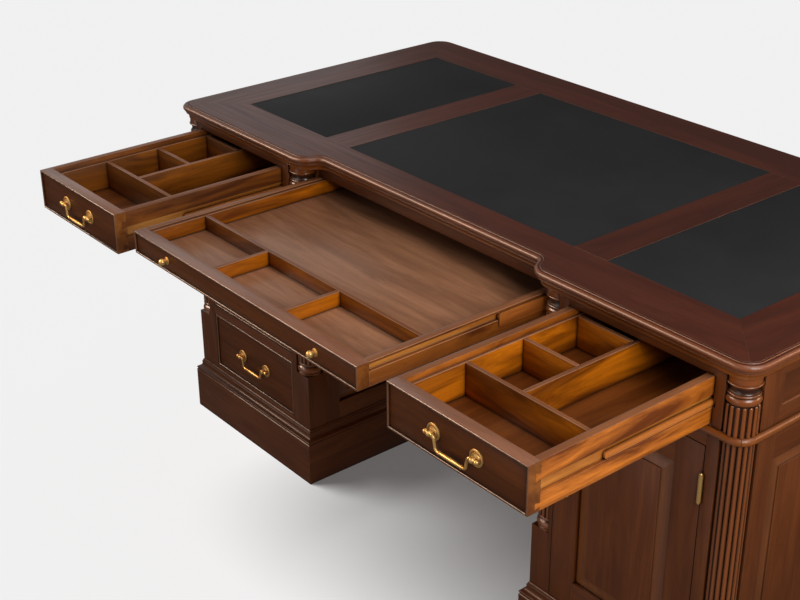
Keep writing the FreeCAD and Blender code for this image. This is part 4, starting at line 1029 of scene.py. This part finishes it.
@dataclass
class Drawer(SubAssembly):
    """A drawer's front, box and brass, and its tray and slides where it has them."""

    name: str = "right_drawer"
    ease: float = 0.0007
    bail_smooth: float = 45.0
    boards: WoodFinish = BOX
    dividers: WoodFinish = TRAY
    bottom: WoodFinish = BOTTOM
    brass: tuple[str, ...] = ("handle_posts", "bail")
    fitted: bool = True

    def plan(self) -> dict[str, Dressing]:
        """Plans the drawer.

        Returns:
            The dressing of each node.
        """
        plan = {
            f"{self.name}_front": Dressing(Slot.FRONT, FRONT, CASE_EDGE, ease=self.ease, patches={
                Patch.END: FRONT_END, Patch.BEAD: BEAD, Patch.RIM: FRONT_RIM_REFLECTION}),
            f"{self.name}_box": Dressing(Slot.DRAWER, self.boards, RIM_EDGE_HIGHLIGHT, ease=self.ease, patches={
                Patch.THIN: self.bottom, Patch.RIM: BOX_RIM, Patch.GROOVE: GROOVE}),
        }
        if self.fitted:
            plan[f"{self.name}_tray"] = Dressing(Slot.TRAY, self.dividers, RIM_EDGE_HIGHLIGHT, ease=self.ease,
                                                 patches={Patch.RIM: BOX_RIM})
            plan[f"{self.name}_slides"] = Dressing(Slot.SLIDE, SLIDE, ease=self.ease)
        for part in self.brass:
            plan[f"{self.name}_{part}"] = Dressing(Slot.BRASS, BRASS, ease=0.0,
                                                   smooth_below=self.bail_smooth)
        return plan


DOORS = ("front_right_door", "back_right_door", "back_left_door")
PEDESTAL_DRAWERS = ("lower_drawer", "middle_drawer", "upper_drawer")


# ---------------------------------------------------------------- studio
@dataclass(frozen=True)
class Sun:
    """A distant soft light: the way to it, its irradiance and how many degrees wide it looks."""

    name: str
    towards: Place
    strength: float
    angle: float
    lights: Lights = Lights.DESK


@dataclass(frozen=True)
class Softbox:
    """A lamp of some width and height in metres and power in watts, that faces a target.

    A glint is seen only as a highlight, and adds no light to what is dull.
    """

    name: str
    place: Place
    target: Place
    width: float
    height: float
    power: float
    colour: Colour = WHITE
    glint: bool = False


AMBER: Colour = (1.0, 0.7, 0.52)
SUNS = (
    Sun("overhead", towards=(0.3, 0.15, 1.0), strength=1.55, angle=50.0),
    Sun("front_fill", towards=(-0.2, -1.0, 0.12), strength=0.65, angle=60.0),
    Sun("floor_light", towards=(-0.68, -0.46, 1.0), strength=5.0, angle=34.0, lights=Lights.FLOOR),
)
SOFTBOXES = (
    Softbox("key", place=(2.1, -0.75, 1.7), target=(0.6, -0.5, 0.65), width=1.0, height=1.0, power=30.0),
    Softbox("sheen", place=(-5.0, 1.2, 2.4), target=(-0.4, 0.0, 0.8), width=4.0, height=4.0, power=28.0),
    Softbox("front_strip", place=(-3.0, -2.7, 2.7), target=(-3.0, -0.4, 0.75), width=4.4, height=0.9,
            power=300.0, colour=AMBER, glint=True),
    Softbox("side_strip", place=(3.5, 3.2, 2.6), target=(0.8, 0.0, 0.75), width=1.6, height=1.6,
            power=80.0, colour=AMBER, glint=True),
)


@dataclass
class Studio:
    """Floor, soft light and camera."""

    workshop: Workshop
    eye: Place = (1.884, -1.933, 1.8035)
    azimuth: float = 50.89
    elevation: float = 26.46
    roll: float = -0.40
    lens: float = 64.36
    sensor: float = 36.0
    floor_half: float = 30.0
    sun_place: Place = (0.0, 0.0, 3.0)
    room: float = 0.07
    floor: bpy.types.Object | None = field(default=None, init=False)

    def build(self) -> None:
        """Makes the floor, the surroundings, the lights and the camera."""
        bpy.context.scene.view_settings.view_transform = "Standard"
        self.make_floor()
        self.make_surroundings()
        for sun in SUNS:
            self.hang_sun(sun)
        for softbox in SOFTBOXES:
            self.hang_softbox(softbox)
        self.make_camera()

    def make_floor(self) -> None:
        """Lays a large pale floor that the lacquer doesn't mirror."""
        deselect()
        bpy.ops.mesh.primitive_plane_add(size=2 * self.floor_half, location=(0, 0, 0))
        self.floor = bpy.context.object
        self.floor.name = "studio_floor"
        self.floor.data.materials.append(self.workshop.get(FLOOR))
        self.floor.visible_glossy = False

    def make_surroundings(self) -> None:
        """Surrounds the scene with even white light."""
        world = bpy.data.worlds.new("white_room")
        world.use_nodes = True
        background = world.node_tree.nodes["Background"]
        background.inputs["Color"].default_value = (*WHITE, 1.0)
        background.inputs["Strength"].default_value = self.room
        bpy.context.scene.world = world

    def hang_sun(self, sun: Sun) -> None:
        """Adds a distant light.

        Args:
            sun: the light.
        """
        data = bpy.data.lights.new(sun.name, "SUN")
        data.energy = sun.strength
        data.angle = math.radians(sun.angle)
        self.hang(data, self.sun_place, Vector(sun.towards), sun.lights)

    def hang_softbox(self, softbox: Softbox) -> None:
        """Adds a softbox that leaves the floor as it is.

        Args:
            softbox: the lamp.
        """
        data = bpy.data.lights.new(softbox.name, "AREA")
        data.shape = "RECTANGLE"
        data.energy = softbox.power
        data.size = softbox.width
        data.size_y = softbox.height
        data.color = softbox.colour
        back = Vector(softbox.place) - Vector(softbox.target)
        lamp = self.hang(data, softbox.place, back, Lights.DESK)
        lamp.visible_diffuse = not softbox.glint

    def hang(self, data: bpy.types.Light, place: Place, back: Vector, lights: Lights) -> bpy.types.Object:
        """Puts a lamp in the scene.

        Args:
            data: the light.
            place: where it hangs.
            back: the direction opposite to the one it shines in.
            lights: what it lights.

        Returns:
            The lamp.
        """
        lamp = bpy.data.objects.new(data.name, data)
        bpy.context.scene.collection.objects.link(lamp)
        lamp.location = place
        lamp.rotation_euler = back.to_track_quat("Z", "Y").to_euler()
        lit = bpy.data.collections.new(data.name + "_receivers")
        lit.objects.link(self.floor)
        lit.collection_objects[0].light_linking.link_state = lights.value
        lamp.light_linking.receiver_collection = lit
        return lamp

    def make_camera(self) -> None:
        """Sets the camera up at its place, turn and lens."""
        turn, rise, roll = (math.radians(angle) for angle in (self.azimuth, self.elevation, self.roll))
        right = Vector((math.cos(turn), math.sin(turn), 0.0))
        back = Vector((math.sin(turn) * math.cos(rise), -math.cos(turn) * math.cos(rise), math.sin(rise)))
        up = back.cross(right)
        rolled_right = math.cos(roll) * right + math.sin(roll) * up
        rolled_up = -math.sin(roll) * right + math.cos(roll) * up
        data = bpy.data.cameras.new("camera")
        data.lens = self.lens
        data.sensor_width = self.sensor
        camera = bpy.data.objects.new("camera", data)
        bpy.context.scene.collection.objects.link(camera)
        camera.matrix_world = Matrix((rolled_right, rolled_up, back)).transposed().to_4x4()
        camera.matrix_world.translation = Vector(self.eye)
        bpy.context.scene.camera = camera


def main() -> None:
    """Dresses the desk, reports each piece and builds the studio."""
    logging.basicConfig(level=logging.INFO, format="%(message)s")
    workshop = Workshop()
    assemblies: list[SubAssembly] = [
        Top(workshop),
        Frieze(workshop),
        Pedestals(workshop),
        *(Door(workshop, name) for name in DOORS),
        Drawer(workshop, "right_drawer"),
        # the left and centre drawers take the darker box wood, and the left also the darker tray wood, as
        # painted shade
        Drawer(workshop, "left_drawer", boards=PAINTED_SHADE_BOX, dividers=PAINTED_SHADE_TRAY),
        Drawer(workshop, "centre_drawer", boards=PAINTED_SHADE_BOX, bottom=WIDE_BOTTOM, brass=("knobs",)),
        *(Drawer(workshop, name, fitted=False) for name in PEDESTAL_DRAWERS),
    ]
    for assembly in assemblies:
        for piece in assembly.build():
            log.info("%s: %s, %d faces", assembly.name, piece.name, len(piece.data.polygons))
    Studio(workshop).build()


if __name__ == "__main__":
    main()
